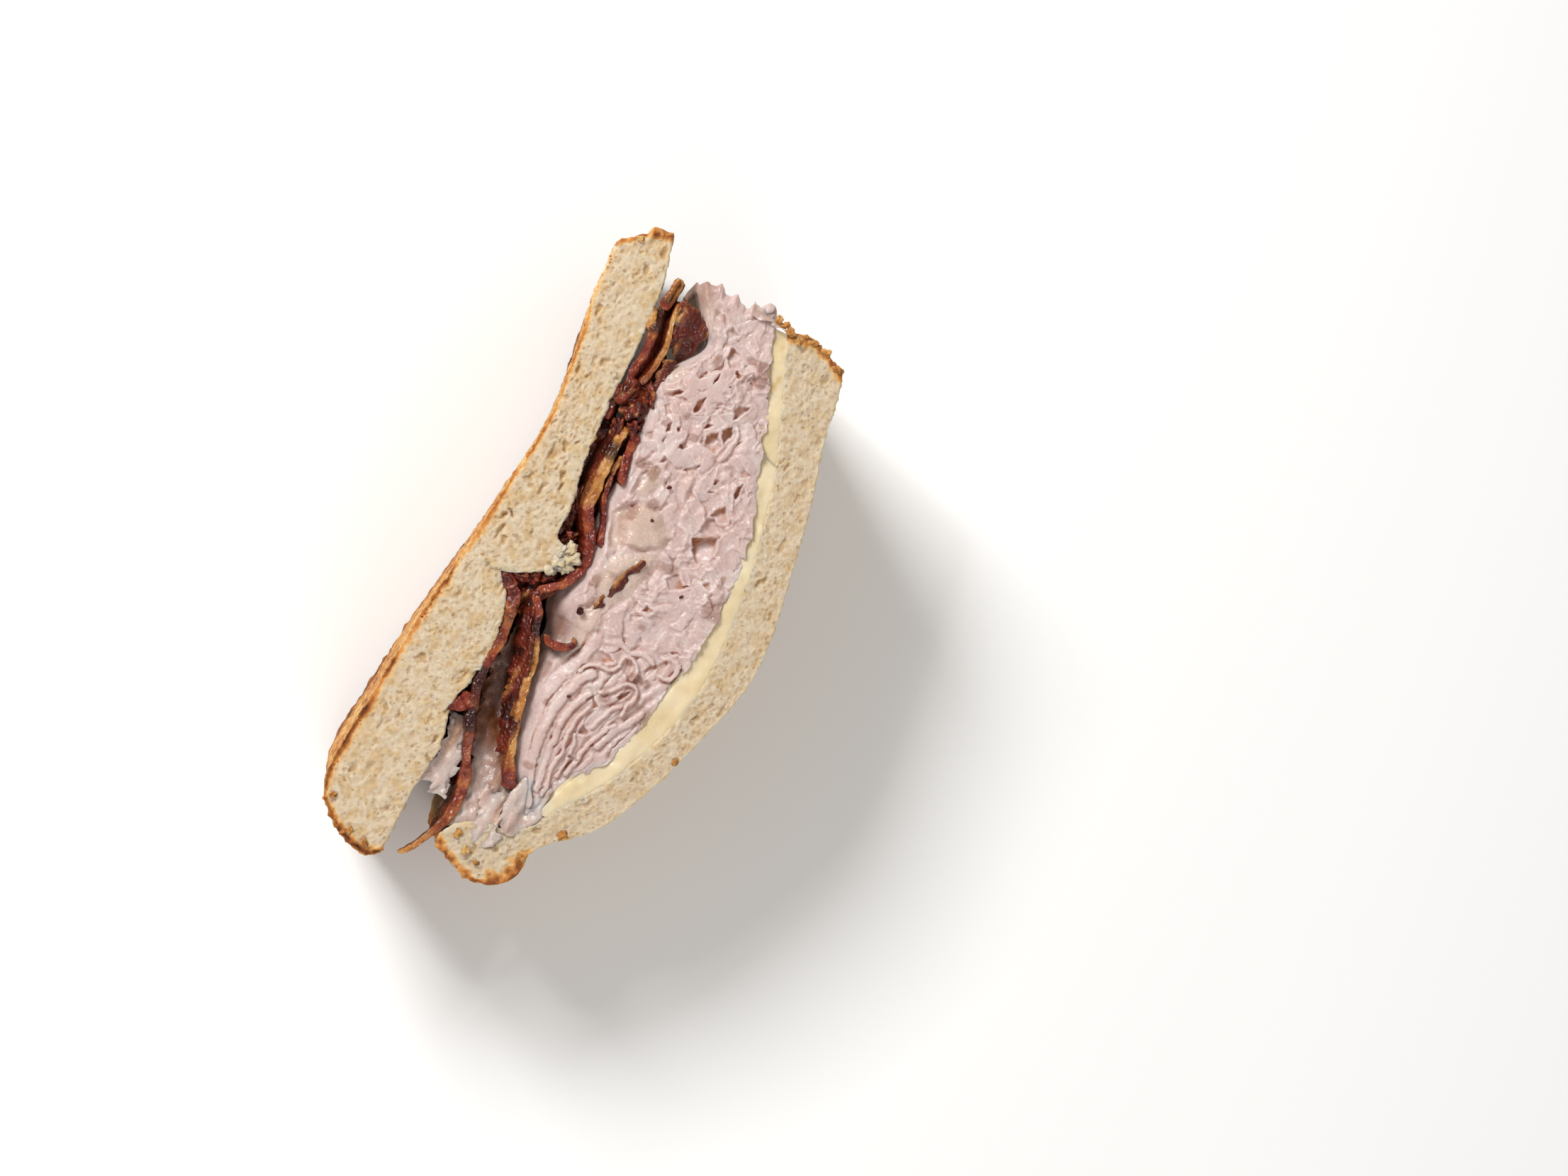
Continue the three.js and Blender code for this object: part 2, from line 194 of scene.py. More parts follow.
def box_surface(s_values, t_values, r_values):
    """The surface of a box of grid points: each point's s, t and r, and the squares between them."""
    counts = (len(s_values), len(t_values), len(r_values))
    inside = np.zeros(counts, bool)
    inside[1:-1, 1:-1, 1:-1] = True
    number = np.full(counts, -1, np.int64)
    number[~inside] = np.arange((~inside).sum())
    i, j, k = np.nonzero(~inside)
    quads = []
    for axis in range(3):
        for end in (0, -1):
            face = np.take(number, end, axis=axis)
            a, b, c, d = face[:-1, :-1], face[1:, :-1], face[1:, 1:], face[:-1, 1:]
            ring = (a, b, c, d) if (end == -1) == (axis != 1) else (a, d, c, b)
            quads.append(np.stack([r.ravel() for r in ring], -1))
    return s_values[i], t_values[j], r_values[k], np.vstack(quads)


def normals_of(points, quads):
    """Each point's direction outwards, from faces of four corners."""
    across = np.cross(points[quads[:, 2]] - points[quads[:, 0]], points[quads[:, 3]] - points[quads[:, 1]])
    total = np.zeros_like(points)
    for k in range(4):
        for axis in range(3):
            total[:, axis] += np.bincount(quads[:, k], across[:, axis], len(points))
    return total / np.maximum(np.linalg.norm(total, axis=1, keepdims=True), 1e-12)


def piece(name, points, faces, material, body="root", nodes=(), marks=None, wide_faces=()):
    """A smooth-shaded mesh object in the part's frame, with named numbers on its points for the material."""
    mesh = bpy.data.meshes.new(name)
    faces = np.asarray(faces)
    points = np.maximum(points, (-np.inf, -np.inf, 0))  # nothing dips into the floor
    corners = np.concatenate([faces.ravel()] + [np.asarray(face) for face in wide_faces])
    sizes = np.concatenate([np.full(len(faces), faces.shape[1])] + [[len(face)] for face in wide_faces])
    mesh.vertices.add(len(points))
    mesh.vertices.foreach_set("co", np.ascontiguousarray(points, np.float32).ravel())
    mesh.loops.add(len(corners))
    mesh.loops.foreach_set("vertex_index", corners.astype(np.int32))
    mesh.polygons.add(len(sizes))
    mesh.polygons.foreach_set("loop_start", np.concatenate([[0], np.cumsum(sizes)[:-1]]).astype(np.int32))
    mesh.polygons.foreach_set("use_smooth", np.ones(len(sizes), bool))
    mesh.update(calc_edges=True)
    for mark, values in (marks or {}).items():
        layer = mesh.attributes.new(mark, "FLOAT", "POINT")
        layer.data.foreach_set("value", np.ascontiguousarray(values, np.float32))
    mesh.validate()
    obj = bpy.data.objects.new(name, mesh)
    bpy.context.scene.collection.objects.link(obj)
    obj.data.materials.append(material)
    if body:
        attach(obj, body)
        for node in nodes:
            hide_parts(node)
    return obj


def outward(points, quads):
    """The squares turned so that they face out."""
    a, b, c, d = (points[quads[:, k]] for k in range(4))
    volume = (np.cross(b - a, c - a) * a).sum() + (np.cross(c - a, d - a) * a).sum()
    return quads if volume > 0 else quads[:, ::-1]


def dense_start(count, first, growth):
    """Values from 0 to 1 whose steps grow from a first small one."""
    steps = first * growth ** np.arange(count)
    values = np.concatenate([[0], np.cumsum(steps)])
    return values / values[-1]


# ---- materials ----


def colour(text):
    """A display colour such as 'e8d2a0' as linear light."""
    parts = [int(text[i:i + 2], 16) / 255 for i in (0, 2, 4)]
    linear = [c / 12.92 if c <= 0.04045 else ((c + 0.055) / 1.055) ** 2.4 for c in parts]
    return (*linear, 1.0)


class Shader:
    """A node material with its usual wiring in few words."""

    def __init__(self, name, **settings):
        self.material = bpy.data.materials.new(name)
        self.material.use_nodes = True
        self.nodes = self.material.node_tree.nodes
        self.links = self.material.node_tree.links
        self.surface = self.nodes["Principled BSDF"]
        self.place = self.nodes.new("ShaderNodeTexCoord").outputs["Object"]
        for socket, value in settings.items():
            self.surface.inputs[socket.replace("_", " ")].default_value = value

    def node(self, kind, **inputs):
        made = self.nodes.new(kind)
        for socket, value in inputs.items():
            self.feed(made.inputs[socket.replace("_", " ")], value)
        return made

    def feed(self, socket, value):
        if isinstance(value, bpy.types.NodeSocket):
            self.links.new(value, socket)
        else:
            socket.default_value = value

    def mark(self, name):
        made = self.nodes.new("ShaderNodeAttribute")
        made.attribute_name = name
        return made.outputs["Fac"]

    def noise(self, size_mm, detail=2.0, rough=0.5):
        return self.node("ShaderNodeTexNoise", Vector=self.place, Scale=1 / (size_mm * MM), Detail=detail,
                         Roughness=rough).outputs["Fac"]

    def cells(self, size_mm, feature="F1"):
        made = self.node("ShaderNodeTexVoronoi", Vector=self.place, Scale=1 / (size_mm * MM))
        made.feature = feature
        return made.outputs["Distance"]

    def math(self, how, a, b=0.0, clamp=False):
        made = self.nodes.new("ShaderNodeMath")
        made.operation = how
        made.use_clamp = clamp
        self.feed(made.inputs[0], a)
        self.feed(made.inputs[1], b)
        return made.outputs[0]

    def times(self, a, b):
        return self.math("MULTIPLY", a, b)

    def span(self, value, low, high, to_low=0.0, to_high=1.0):
        made = self.node("ShaderNodeMapRange", Value=value, From_Min=low, From_Max=high, To_Min=to_low,
                         To_Max=to_high)
        made.interpolation_type = "SMOOTHSTEP"
        return made.outputs[0]

    def ramp(self, value, stops):
        made = self.node("ShaderNodeValToRGB", Fac=value)
        points = made.color_ramp.elements
        while len(points) < len(stops):
            points.new(0.5)
        for point, (place, shade) in zip(points, stops):
            point.position = place
            point.color = colour(shade)
        return made.outputs["Color"]

    def mix(self, share, a, b, how="MIX"):
        made = self.nodes.new("ShaderNodeMix")
        made.data_type = "RGBA"
        made.blend_type = how
        self.feed(made.inputs["Factor"], share)
        self.feed(made.inputs["A"], colour(a) if isinstance(a, str) else a)
        self.feed(made.inputs["B"], colour(b) if isinstance(b, str) else b)
        return made.outputs["Result"]

    def bump(self, height, depth_mm, under=None):
        made = self.node("ShaderNodeBump", Height=height, Strength=1.0, Distance=depth_mm * MM)
        if under is not None:
            self.links.new(under, made.inputs["Normal"])
        return made.outputs[0]

    def finish(self, base, normal=None, roughness=None):
        self.feed(self.surface.inputs["Base Color"], base)
        if normal is not None:
            self.links.new(normal, self.surface.inputs["Normal"])
        if roughness is not None:
            self.feed(self.surface.inputs["Roughness"], roughness)
        return self.material


# Colours from hardly toasted to burnt.
TOAST = [(0, "dcc596"), (0.22, "d0a468"), (0.42, "bb7f42"), (0.62, "94572a"), (0.82, "5e3318"),
         (1, "2c170d")]


def bread_material(name, light, mid, deep):
    """Crumb that turns golden and then browner with the mark toast, with painted shade darkening it down in
    its pores and tiny pits.
    """
    m = Shader(name, Roughness=0.85, Subsurface_Weight=0.55, Subsurface_Radius=(0.003, 0.0022, 0.0014),
               Subsurface_Scale=1.0, Specular_IOR_Level=0.25)
    crumb = m.mix(m.times(m.span(m.noise(2.6, 3.0), 0.44, 0.66), 0.75), light, mid)
    fine = m.noise(0.85, 4.0, 0.62)
    crumb = m.mix(m.times(m.span(fine, 0.54, 0.36), 0.3), crumb, deep)
    tiny = m.times(m.span(m.cells(1.15), 0.3, 0.14), m.span(m.noise(2.3, 2.0), 0.42, 0.56))
    # painted shade: the crumb darker in its tiny pits
    crumb = m.mix(m.times(tiny, 0.35), crumb, deep)
    # painted shade: the crumb darker the deeper its pores go
    crumb = m.mix(m.times(m.mark("pore_shade"), 0.7), crumb, deep)
    toast = m.mark("toast")
    grain = m.times(m.math("SUBTRACT", m.noise(1.1, 4.0, 0.6), 0.5), 0.6)
    toast = m.math("ADD", toast, m.times(grain, m.span(toast, 0.02, 0.3)), clamp=True)
    base = m.mix(m.span(toast, 0.03, 0.22), crumb, m.ramp(toast, TOAST))
    return m.finish(base, m.bump(tiny, -0.22, m.bump(fine, 0.16)))


def turkey_material():
    """Moist pale pink meat: warmer painted shade in its creases, creamy under dressing, browned at a few
    edges, browner painted shade down its deep sides and on low sheets, and painted glints as pale specks.
    """
    m = Shader("turkey", Subsurface_Weight=0.6, Subsurface_Radius=(0.0032, 0.002, 0.0016),
               Subsurface_Scale=1.0, Specular_IOR_Level=0.5, IOR=1.42)
    meat = m.ramp(m.noise(6.5, 3.0), [(0.32, "c4a8a0"), (0.5, "c8afa8"), (0.7, "ccb9b2")])
    # painted shade: warmer and darker in the creases, where the face lies low
    meat = m.mix(m.span(m.mark("shade"), 0.0, 1.0), meat, "d08d60")
    meat = m.mix(m.times(m.mark("sauce"), 0.5), meat, "cbb299")
    spots = m.times(m.span(m.cells(3.4), 0.11, 0.06), m.span(m.noise(9.0), 0.54, 0.64))
    meat = m.mix(m.times(spots, 0.6), meat, "c08a55")
    # painted highlights: fine pale specks that stand in for wet glints
    painted_glints = m.span(m.noise(0.5, 3.0, 0.7), 0.52, 0.66)
    meat = m.mix(m.times(painted_glints, 0.35), meat, "dfd3cf")
    # browned edges, and painted shade as a browner tone down the deep sides and on the low sheets
    base = m.mix(m.mark("brown_and_shade"), meat, "7d4624")
    grain = m.bump(m.noise(1.6, 2.0), 0.14, m.bump(m.noise(0.55, 2.0, 0.6), 0.1))
    gloss = m.span(m.mark("sauce"), 0.0, 1.0, 1.0, 0.45)
    return m.finish(base, grain, m.times(m.span(m.noise(1.2, 2.0), 0.35, 0.65, 0.22, 0.5), gloss))


def bacon_material():
    """Crisp bacon: mahogany lean, tan bubbled fat along the cut edges and dark faces, shiny with grease, with
    painted shade in the dents of its nuggets.
    """
    m = Shader("bacon", Subsurface_Weight=0.1, Subsurface_Radius=(0.002, 0.0007, 0.0004),
               Subsurface_Scale=1.0, Specular_IOR_Level=0.4)
    lean = m.ramp(m.noise(3.0, 3.0), [(0.3, "4c1410"), (0.48, "76291a"), (0.62, "8d3f1f"), (0.8, "ac602c")])
    fat = m.ramp(m.noise(2.2, 3.0), [(0.3, "90501f"), (0.5, "b27638"), (0.68, "c29258"), (0.85, "a8642a")])
    share = m.math("ADD", m.mark("fat"), m.times(m.noise(3.0, 3.0), 0.5))
    edge = m.mix(m.span(share, 0.5, 0.95), lean, fat)
    face = m.ramp(m.noise(4.0, 3.0), [(0.3, "300b06"), (0.5, "4e170c"), (0.7, "6e2b15")])
    base = m.mix(m.mark("deep"), edge, face)
    base = m.mix(m.mark("burnt"), base, "2a0b05")
    bubbles = m.bump(m.span(m.cells(0.75, "SMOOTH_F1"), 0.1, 0.6, 1.0, 0.0), 0.16)
    grain = m.bump(m.noise(0.5, 3.0), 0.12, bubbles)
    return m.finish(base, grain, m.span(m.noise(1.5, 2.0), 0.3, 0.7, 0.16, 0.42))


def cheese_material():
    """Smooth pale yellow cheese with a soft sheen."""
    m = Shader("cheese", Roughness=0.36, Subsurface_Weight=0.4, Subsurface_Radius=(0.004, 0.0026, 0.001),
               Subsurface_Scale=1.0, Specular_IOR_Level=0.5)
    base = m.mix(m.span(m.noise(7.0, 2.0), 0.35, 0.7), "dfcba8", "d8c095")
    base = m.mix(m.mark("shade"), base, "c9a862")
    fine = m.bump(m.noise(0.9, 2.0), 0.06)
    return m.finish(base, m.bump(m.noise(3.5, 2.0), 0.3, fine), m.span(m.noise(2.0), 0.35, 0.7, 0.24, 0.46))


# ---- edges on the cut face, as in the solids ----
GRILLED_OUTER = [(-62.8, -15.8), (-57.6, -17.6), (-49.8, -17.6), (-39.4, -17.2), (-25, -16.6), (-10, -15.2),
                 (5, -14.2), (20, -13.4), (33, -15), (45, -17.4), (55.4, -18.4)]
GRILLED_INNER = [(-66.8, -1.6), (-54, -2), (-43.4, -1.5), (-35.7, -3.5), (-29, -2), (-19.7, -2.4),
                 (-12.6, -4.6), (-9, -7.6), (-7.6, -3.5), (-5.4, -0.4), (-3.6, 2.8), (-1.4, 3.6), (0.2, 2.4),
                 (0.8, -1.2), (6.7, -1.7), (15, -3.5), (27, -4.8), (40, -5.5), (53.6, -7.2), (61.6, -10)]
GRILLED_LOW_END = [GRILLED_OUTER[0], (-65.6, -12.2), (-67.4, -8.6), (-68.6, -4), GRILLED_INNER[0]]
GRILLED_HIGH_END = [GRILLED_OUTER[-1], (58.2, -15.6), (60.8, -12.4), GRILLED_INNER[-1]]
SOFT_OUTER = [(-63, 17), (-61.5, 20.5), (-58, 22.9), (-53.4, 23), (-49, 26.4), (-43.5, 32), (-30, 37.9),
              (-17.2, 41.5), (-5, 44), (3, 43.5), (17.4, 40.6), (30.7, 37.4), (39.5, 34.6), (47.6, 32.8),
              (54.5, 30.9)]
SOFT_INNER = [(-60.5, 7.2), (-58, 6.6), (-55, 8.6), (-52.4, 13), (-51.6, 17.4), (-49, 20.9), (-43.5, 24),
              (-36.2, 28.9), (-28.4, 32.3), (-19.3, 35.2), (-8, 36.6), (4.6, 35.5), (17, 33.2), (29.2, 29.7),
              (39.5, 25.8), (47.4, 22.1), (56, 18.4)]
SOFT_LOW_END = [SOFT_OUTER[0], (-62.8, 14), (-62, 10.5), SOFT_INNER[0]]
SOFT_HIGH_END = [SOFT_OUTER[-1], (56.2, 26.5), (57.2, 22), SOFT_INNER[-1]]
CHEESE_OUTER = [(-45, 22.6)] + [(u, v - 0.2) for u, v in SOFT_INNER if u > -40]
CHEESE_INNER = [(-45, 20.8), (-38.2, 22.4), (-29.4, 27.2), (-16.8, 30.2), (-4, 31.6), (9.3, 31.2),
                (21.2, 28.8), (31, 24.6), (40.2, 21), (47.6, 17.5), (56, 14.4)]
TURKEY_INNER = [(-48.6, 18.4), (-44, 15.6), (-37.3, 12.2), (-30.4, 10.4), (-23.1, 9.2), (-14.5, 10.4),
                (-8.7, 6.8), (1.6, 6.4), (9.5, 4.8), (17, 4.6), (25.5, 2.4), (37, 1.6), (46.4, 6.4),
                (50.6, 2.8), (55.6, -1.4)]
TURKEY_HIGH_END = [(57.4, 3.1), (56.7, 8.6), (58.6, 13.6)]

# ---- bread ----


def slice_mesh(outer, inner, low_end, high_end):
    """A half slice as a dense closed surface. r is the depth: 0 on the cut face and 1 at the crust edge."""
    s, t, r = even(560), even(57), dense_start(38, 0.4, 1.045)
    counts = (len(s), len(t))
    s, t, r, quads = box_surface(s, t, r)
    base = np.nonzero(r >= 1)[0]
    base = base[np.lexsort((t[base], s[base]))].reshape(counts)
    # The base is flat, so it takes one long face for each step along it.
    strips = np.stack([base[1:-2, 0], base[2:-1, 0], base[2:-1, -1], base[1:-2, -1]], -1)
    ends = [np.concatenate([base[0, ::-1], base[1, [0, -1]]]), np.concatenate([base[-1], base[-2, [-1, 0]]])]
    uv = patch(outer, inner, low_end, high_end, s, t)
    middle = patch(outer, inner, low_end, high_end, s, np.full_like(t, 0.5))
    flat = 1 - (1 - CRUST_ROUND) * np.clip((r - CRUST_START) / (1 - CRUST_START), 0, 1)
    uv[:, 1] = middle[:, 1] + (uv[:, 1] - middle[:, 1]) * flat
    points = seat(uv[:, 0], uv[:, 1], np.minimum(r, 0.9999))
    quads = outward(points, quads)
    strips = strips if looks_down(points, strips[0]) else strips[:, ::-1]
    ends = [face if looks_down(points, face) else face[::-1] for face in ends]
    quads = np.vstack([quads[~(r[quads] >= 1).all(1)], strips])
    used = np.unique(np.concatenate([quads.ravel(), *ends]))
    number = np.full(len(points), -1)
    number[used] = np.arange(len(used))
    return s[used], t[used], r[used], uv[used], points[used], number[quads], [number[face] for face in ends]


def looks_down(points, face):
    ring = points[face] - points[face].mean(0)
    return np.cross(ring, np.roll(ring, -1, 0)).sum(0)[2] < 0


# Pores by size: spacing along and across in millimetres, reach as a share of it, depth in millimetres, and
# how many squares hold one.
CRUMB_PORES = [(3.6, 2.0, 0.38, 0.85, 0.38), (1.8, 1.15, 0.42, 0.42, 0.6), (0.95, 0.72, 0.5, 0.22, 0.9)]


def crumb_relief(u, v, seed, grainy):
    """How deep the crumb's pores go at a place of the cut, in millimetres, and the crumb's fine lumps."""
    wu, wv = warped(u, v, (0.8, 2.4, seed), (0.3, 0.8, seed + 1))
    rich = 0.5 + 0.5 * noise(u / 7, v / 4, 0, seed + 2)
    depth = np.zeros_like(u)
    for k, (size_u, size_v, reach, deep, chance) in enumerate(CRUMB_PORES, 1):
        near, own = cells(wu / size_u, wv / size_v, seed + 10 * k)
        size = own / chance
        inside = reach * (0.35 + 0.65 * size) - near
        deep = (own < chance) * deep * (0.25 + 0.75 * size) * (0.35 + 0.65 * rich)
        depth += deep * ramp(inside, -0.06, 0.24)
    lumps = 0.14 * fbm(u / 1.0, v / 1.0, 0, 3, seed + 3)
    grains = 0.19 * fbm(u / 0.9, v / 0.9, 0, 3, seed + 4)
    return depth * (1 - 0.35 * grainy), lumps * (1 - grainy) + grains * grainy


def bread_relief(u, v, s, t, depth, from_end, from_back, cut, pores, lumps, groove, seed):
    """How far each point of a slice stands out of its smooth form, in millimetres.

    Crumb and torn rim on the cut, lumps on the inner face, wrinkles and grill lines on the crust."""
    inner = (t >= 1) & ~cut
    skin = ~cut & ~inner
    crusty = ramp(from_end, 2.6, 0.6)
    crags = 0.6 * fbm(u / 1.1, v / 1.1, 3, 2, seed + 13) * crusty
    rough = 0.12 * fbm(u / 2, depth / 2, v / 2, 3, seed + 6)
    rough += 0.16 * fbm(u / 0.8, depth / 0.8, v / 0.8, 2, seed + 7) * ramp(depth, 7, 2)
    relief = np.select([cut, inner], [lumps + crags - pores * (1 - 0.6 * crusty) + 0.15,
                                      0.35 * fbm(u / 3, depth / 3, 0, 3, seed + 5)], rough - 0.25 * groove)
    wrinkle = np.maximum(ramp(from_end, 6, 1), ramp(from_back, 6, 1)) * (skin & (t > 0))
    relief += wrinkle * 0.28 * noise(u / 1.6 + v / 9, depth / 9 + v / 1.7, s * 3, seed + 8)
    edge_wave = 0.35 * noise(u / 4, v / 4, 0, seed + 9) + 0.35 * fbm(u / 1.1, v / 1.1, 0, 2, seed + 11)
    relief += np.where(cut, 0, ramp(depth, 2.5, 0) * edge_wave)
    return relief + 0.2 * fbm(u / 1.4, depth / 2.5, 0, 2, seed + 12) * ((t <= 0) & ~cut)


def bread(name, node, curves, material, seed, toasted, grainy):
    s, t, r, uv, points, quads, wide = slice_mesh(*curves)
    u, v = uv.T
    depth, cut = r * CUT_DEPTH, r <= 0
    from_end, from_back = np.minimum(s, 1 - s) * 2 * HALF_LENGTH, (1 - r) * CUT_DEPTH
    from_outside = t * SLICE_THICK
    toast, groove = toasted(u, v, depth, t, from_end, from_back, from_outside, cut)
    pores, lumps = crumb_relief(u, v, seed, grainy)
    relief = bread_relief(u, v, s, t, depth, from_end, from_back, cut, pores, lumps, groove, seed)
    points = points + normals_of(points, quads) * relief[:, None] * MM
    # painted shade: darker the deeper the pores go on the cut, with fixed shares on the inner and outer faces
    pore_shade = np.where(cut, np.clip(pores / 0.6, 0, 1), np.where(t >= 1, 0.25, 0.1))
    piece(name, points, quads, material, nodes=[node], wide_faces=wide,
          marks={"pore_shade": pore_shade, "toast": np.clip(toast, 0, 1)})


def speckles(u, v, size, share, seed):
    """Small dark flecks, scattered, from 0 to 1."""
    near, own = cells(u / size, v / size, seed)
    return (own < share) * ramp(near, 0.36, 0.16)


GRILL_PITCH = 6.3  # from one grill line to the next


def grilled_toast(u, v, depth, t, from_end, from_back, from_outside, cut):
    """Grill lines on the outer face, a browned rim where the cut meets it, and golden crust all round."""
    outside = (t <= 0) & ~cut
    wobble = 0.7 * noise(u / 22, from_back / 22, 0, 71) + 0.35 * noise(u / 5, from_back / 5, 0, 72)
    line = np.cos((from_back + wobble) * 2 * math.pi / GRILL_PITCH)
    lines = ramp(line, 0.15, 0.85) * (0.625 + 0.225 * noise(u / 16, from_back / 5, 0, 73))
    face = 0.34 + 0.14 * fbm(u / 7, from_back / 7, 0, 3, 74) + 0.1 * noise(u / 0.8, from_back / 0.8, 0, 70)
    face += 0.5 * lines + 0.25 * ramp(from_back, 9, 3) + 0.22 * speckles(u, depth, 1.3, 0.5, 69)
    patches = noise(u / 6, 0, 0, 68)
    face = np.maximum(face, 0.86 * ramp(depth, 2.6, 1.2) * ramp(depth, 0.3, 1.0) * ramp(patches, -0.15, 0.35))

    rim = ramp(from_outside, 1.3 + 0.6 * noise(u / 3, 0, 0, 75) + 0.4 * noise(u / 0.9, 0, 0, 79), 0.1)
    patchy = 0.5 + 0.28 * noise(u / 5, 0, 0, 76) + 0.16 * ramp(-u, -15, 30) - 0.2 * ramp(u, 15, 40)
    on_cut = rim * np.clip(patchy, 0.12, 0.85)
    on_cut = np.maximum(on_cut, 0.16 * ramp(from_outside, 3.4, 0.5) * np.clip(patchy + 0.1, 0, 1))
    end = ramp(from_end, 2.2 + 0.9 * noise(v / 2, u / 2, 0, 77) + 0.4 * noise(v / 0.7, u / 0.7, 0, 80), 0.4)
    on_cut = np.maximum(on_cut, (0.5 + 0.14 * ramp(-u, 0, 20)) * end)
    on_cut += 0.22 * end * noise(u / 0.8, v / 0.8, 0, 81)
    fleck = speckles(u, from_outside, 0.8, 0.6, 67) * ramp(from_outside, 1.7, 0.2)
    on_cut = np.maximum(on_cut, (0.5 + 0.35 * ramp(patches, -0.2, 0.4)) * fleck)

    crust = np.maximum(ramp(from_end, 4, 0.5), ramp(from_back, 4, 0.5))
    side = crust * (0.5 + 0.1 * fbm(u / 5, v / 3, depth / 5, 2, 78))
    toast = np.select([cut, outside, t >= 1], [on_cut, np.maximum(face, side), 0.55 * crust], 0.5)
    return toast, np.where(outside, lines, 0)


def soft_toast(u, v, depth, t, from_end, from_back, from_outside, cut):
    """Hardly toasted outside, with a golden crust round the ends and the back."""
    crust = np.maximum(ramp(from_end, 4, 0.5), ramp(from_back, 4, 0.5))
    face = 0.17 + 0.06 * fbm(u / 12, depth / 12, 0, 3, 84) + 0.35 * crust
    end = ramp(from_end, 2.8 + 1.2 * noise(v / 1.6, u / 1.6, 0, 87), 0.5)
    reach = 3.6 + 1.2 * noise(u / 2, v / 2, 0, 88) + 0.6 * noise(u, v, 0, 86)
    low = ramp(-u, 50, 57) * ramp(from_outside, reach, 0.8)
    on_cut = np.maximum(0.52 * end, 0.6 * low) * (1 + 0.35 * noise(u / 0.9, v / 0.9, 0, 85))
    return np.select([cut, t <= 0, t >= 1], [on_cut, face, 0.5 * crust], 0.46), np.zeros_like(u)


def build_bread():
    # the last colour of each is the crumb's darker tone, for mottling and for painted shade in pores and pits
    grilled = bread_material("grilled_bread", "cebda3", "c6a97d", "b4894f")
    soft = bread_material("soft_bread", "cab9a0", "c2a985", "b28d5c")
    top = by_u(GRILLED_OUTER), by_u(GRILLED_INNER), smooth(GRILLED_LOW_END), smooth(GRILLED_HIGH_END)
    low = smooth(SOFT_OUTER), smooth(SOFT_INNER), smooth(SOFT_LOW_END), smooth(SOFT_HIGH_END)
    bread("grilled_slice", "bread_top", top, grilled, 3, grilled_toast, grainy=0.0)
    bread("soft_slice", "bread_bottom", low, soft, 4, soft_toast, grainy=0.8)
    return grilled, soft


# ---- cheese ----


MELT = 1.2  # how far the melted end of the cheese spreads over the crumb, millimetres


def cheese_slice(name, node, inner_ends, outer_ends, material, seed):
    """One slice, from edge curve to edge curve between the given places along the cut."""
    curves = []
    for line, ends in ((CHEESE_INNER, inner_ends), (CHEESE_OUTER, outer_ends)):
        whole = by_u(line, 600)
        along = np.linspace(*ends, 200)
        curves.append(np.stack([along, np.interp(along, *whole.T)], -1))
    low, high = curves
    low[:, 1] -= 0.1
    high[:, 1] += 0.9 + MELT * ramp(high[:, 0], 22, 40) * (1 + 0.5 * noise(high[:, 0] / 4, 0, 0, seed + 2))
    s, t, r, quads = box_surface(even(220), even(14), dense_start(27, 0.4, 1.08))
    uv = patch(low, high, np.linspace(low[0], high[0], 30), np.linspace(low[-1], high[-1], 30), s, t)
    u, v = uv.T
    points = seat(u, v, CHEESE_DEPTH * r)
    quads = outward(points, quads)
    depth = r * CUT_DEPTH
    melt = 0.35 * noise(u / 5, v / 3, depth / 5, seed) + 0.15 * noise(u / 1.6, v / 1.6, depth / 2, seed + 1)
    rounding = 0.3 * ramp(np.minimum(t, 1 - t), 0.175, 0) * (r <= 0)
    points = points + normals_of(points, quads) * (melt - 0.25 - rounding)[:, None] * MM
    # painted shade: darker along the side wall against the turkey, and in hollow-looking patches near the
    # high end that the shape doesn't have
    hole_shade = 0.7 * (u > 43) * (r <= 0) * ramp(noise(u / 1.4, v / 1.1, 0, 33), 0.1, 0.5)
    piece(name, points, quads, material, nodes=[node], marks={"shade": 0.3 * (t <= 0) + hole_shade})


def build_cheese():
    material = cheese_material()
    cheese_slice("cheese_low", "cheese_lower", (-46.2, 35.2), (-46.2, 32.6), material, 21)
    cheese_slice("cheese_high", "cheese_upper", (34.2, 55.6), (31.8, 56), material, 31)


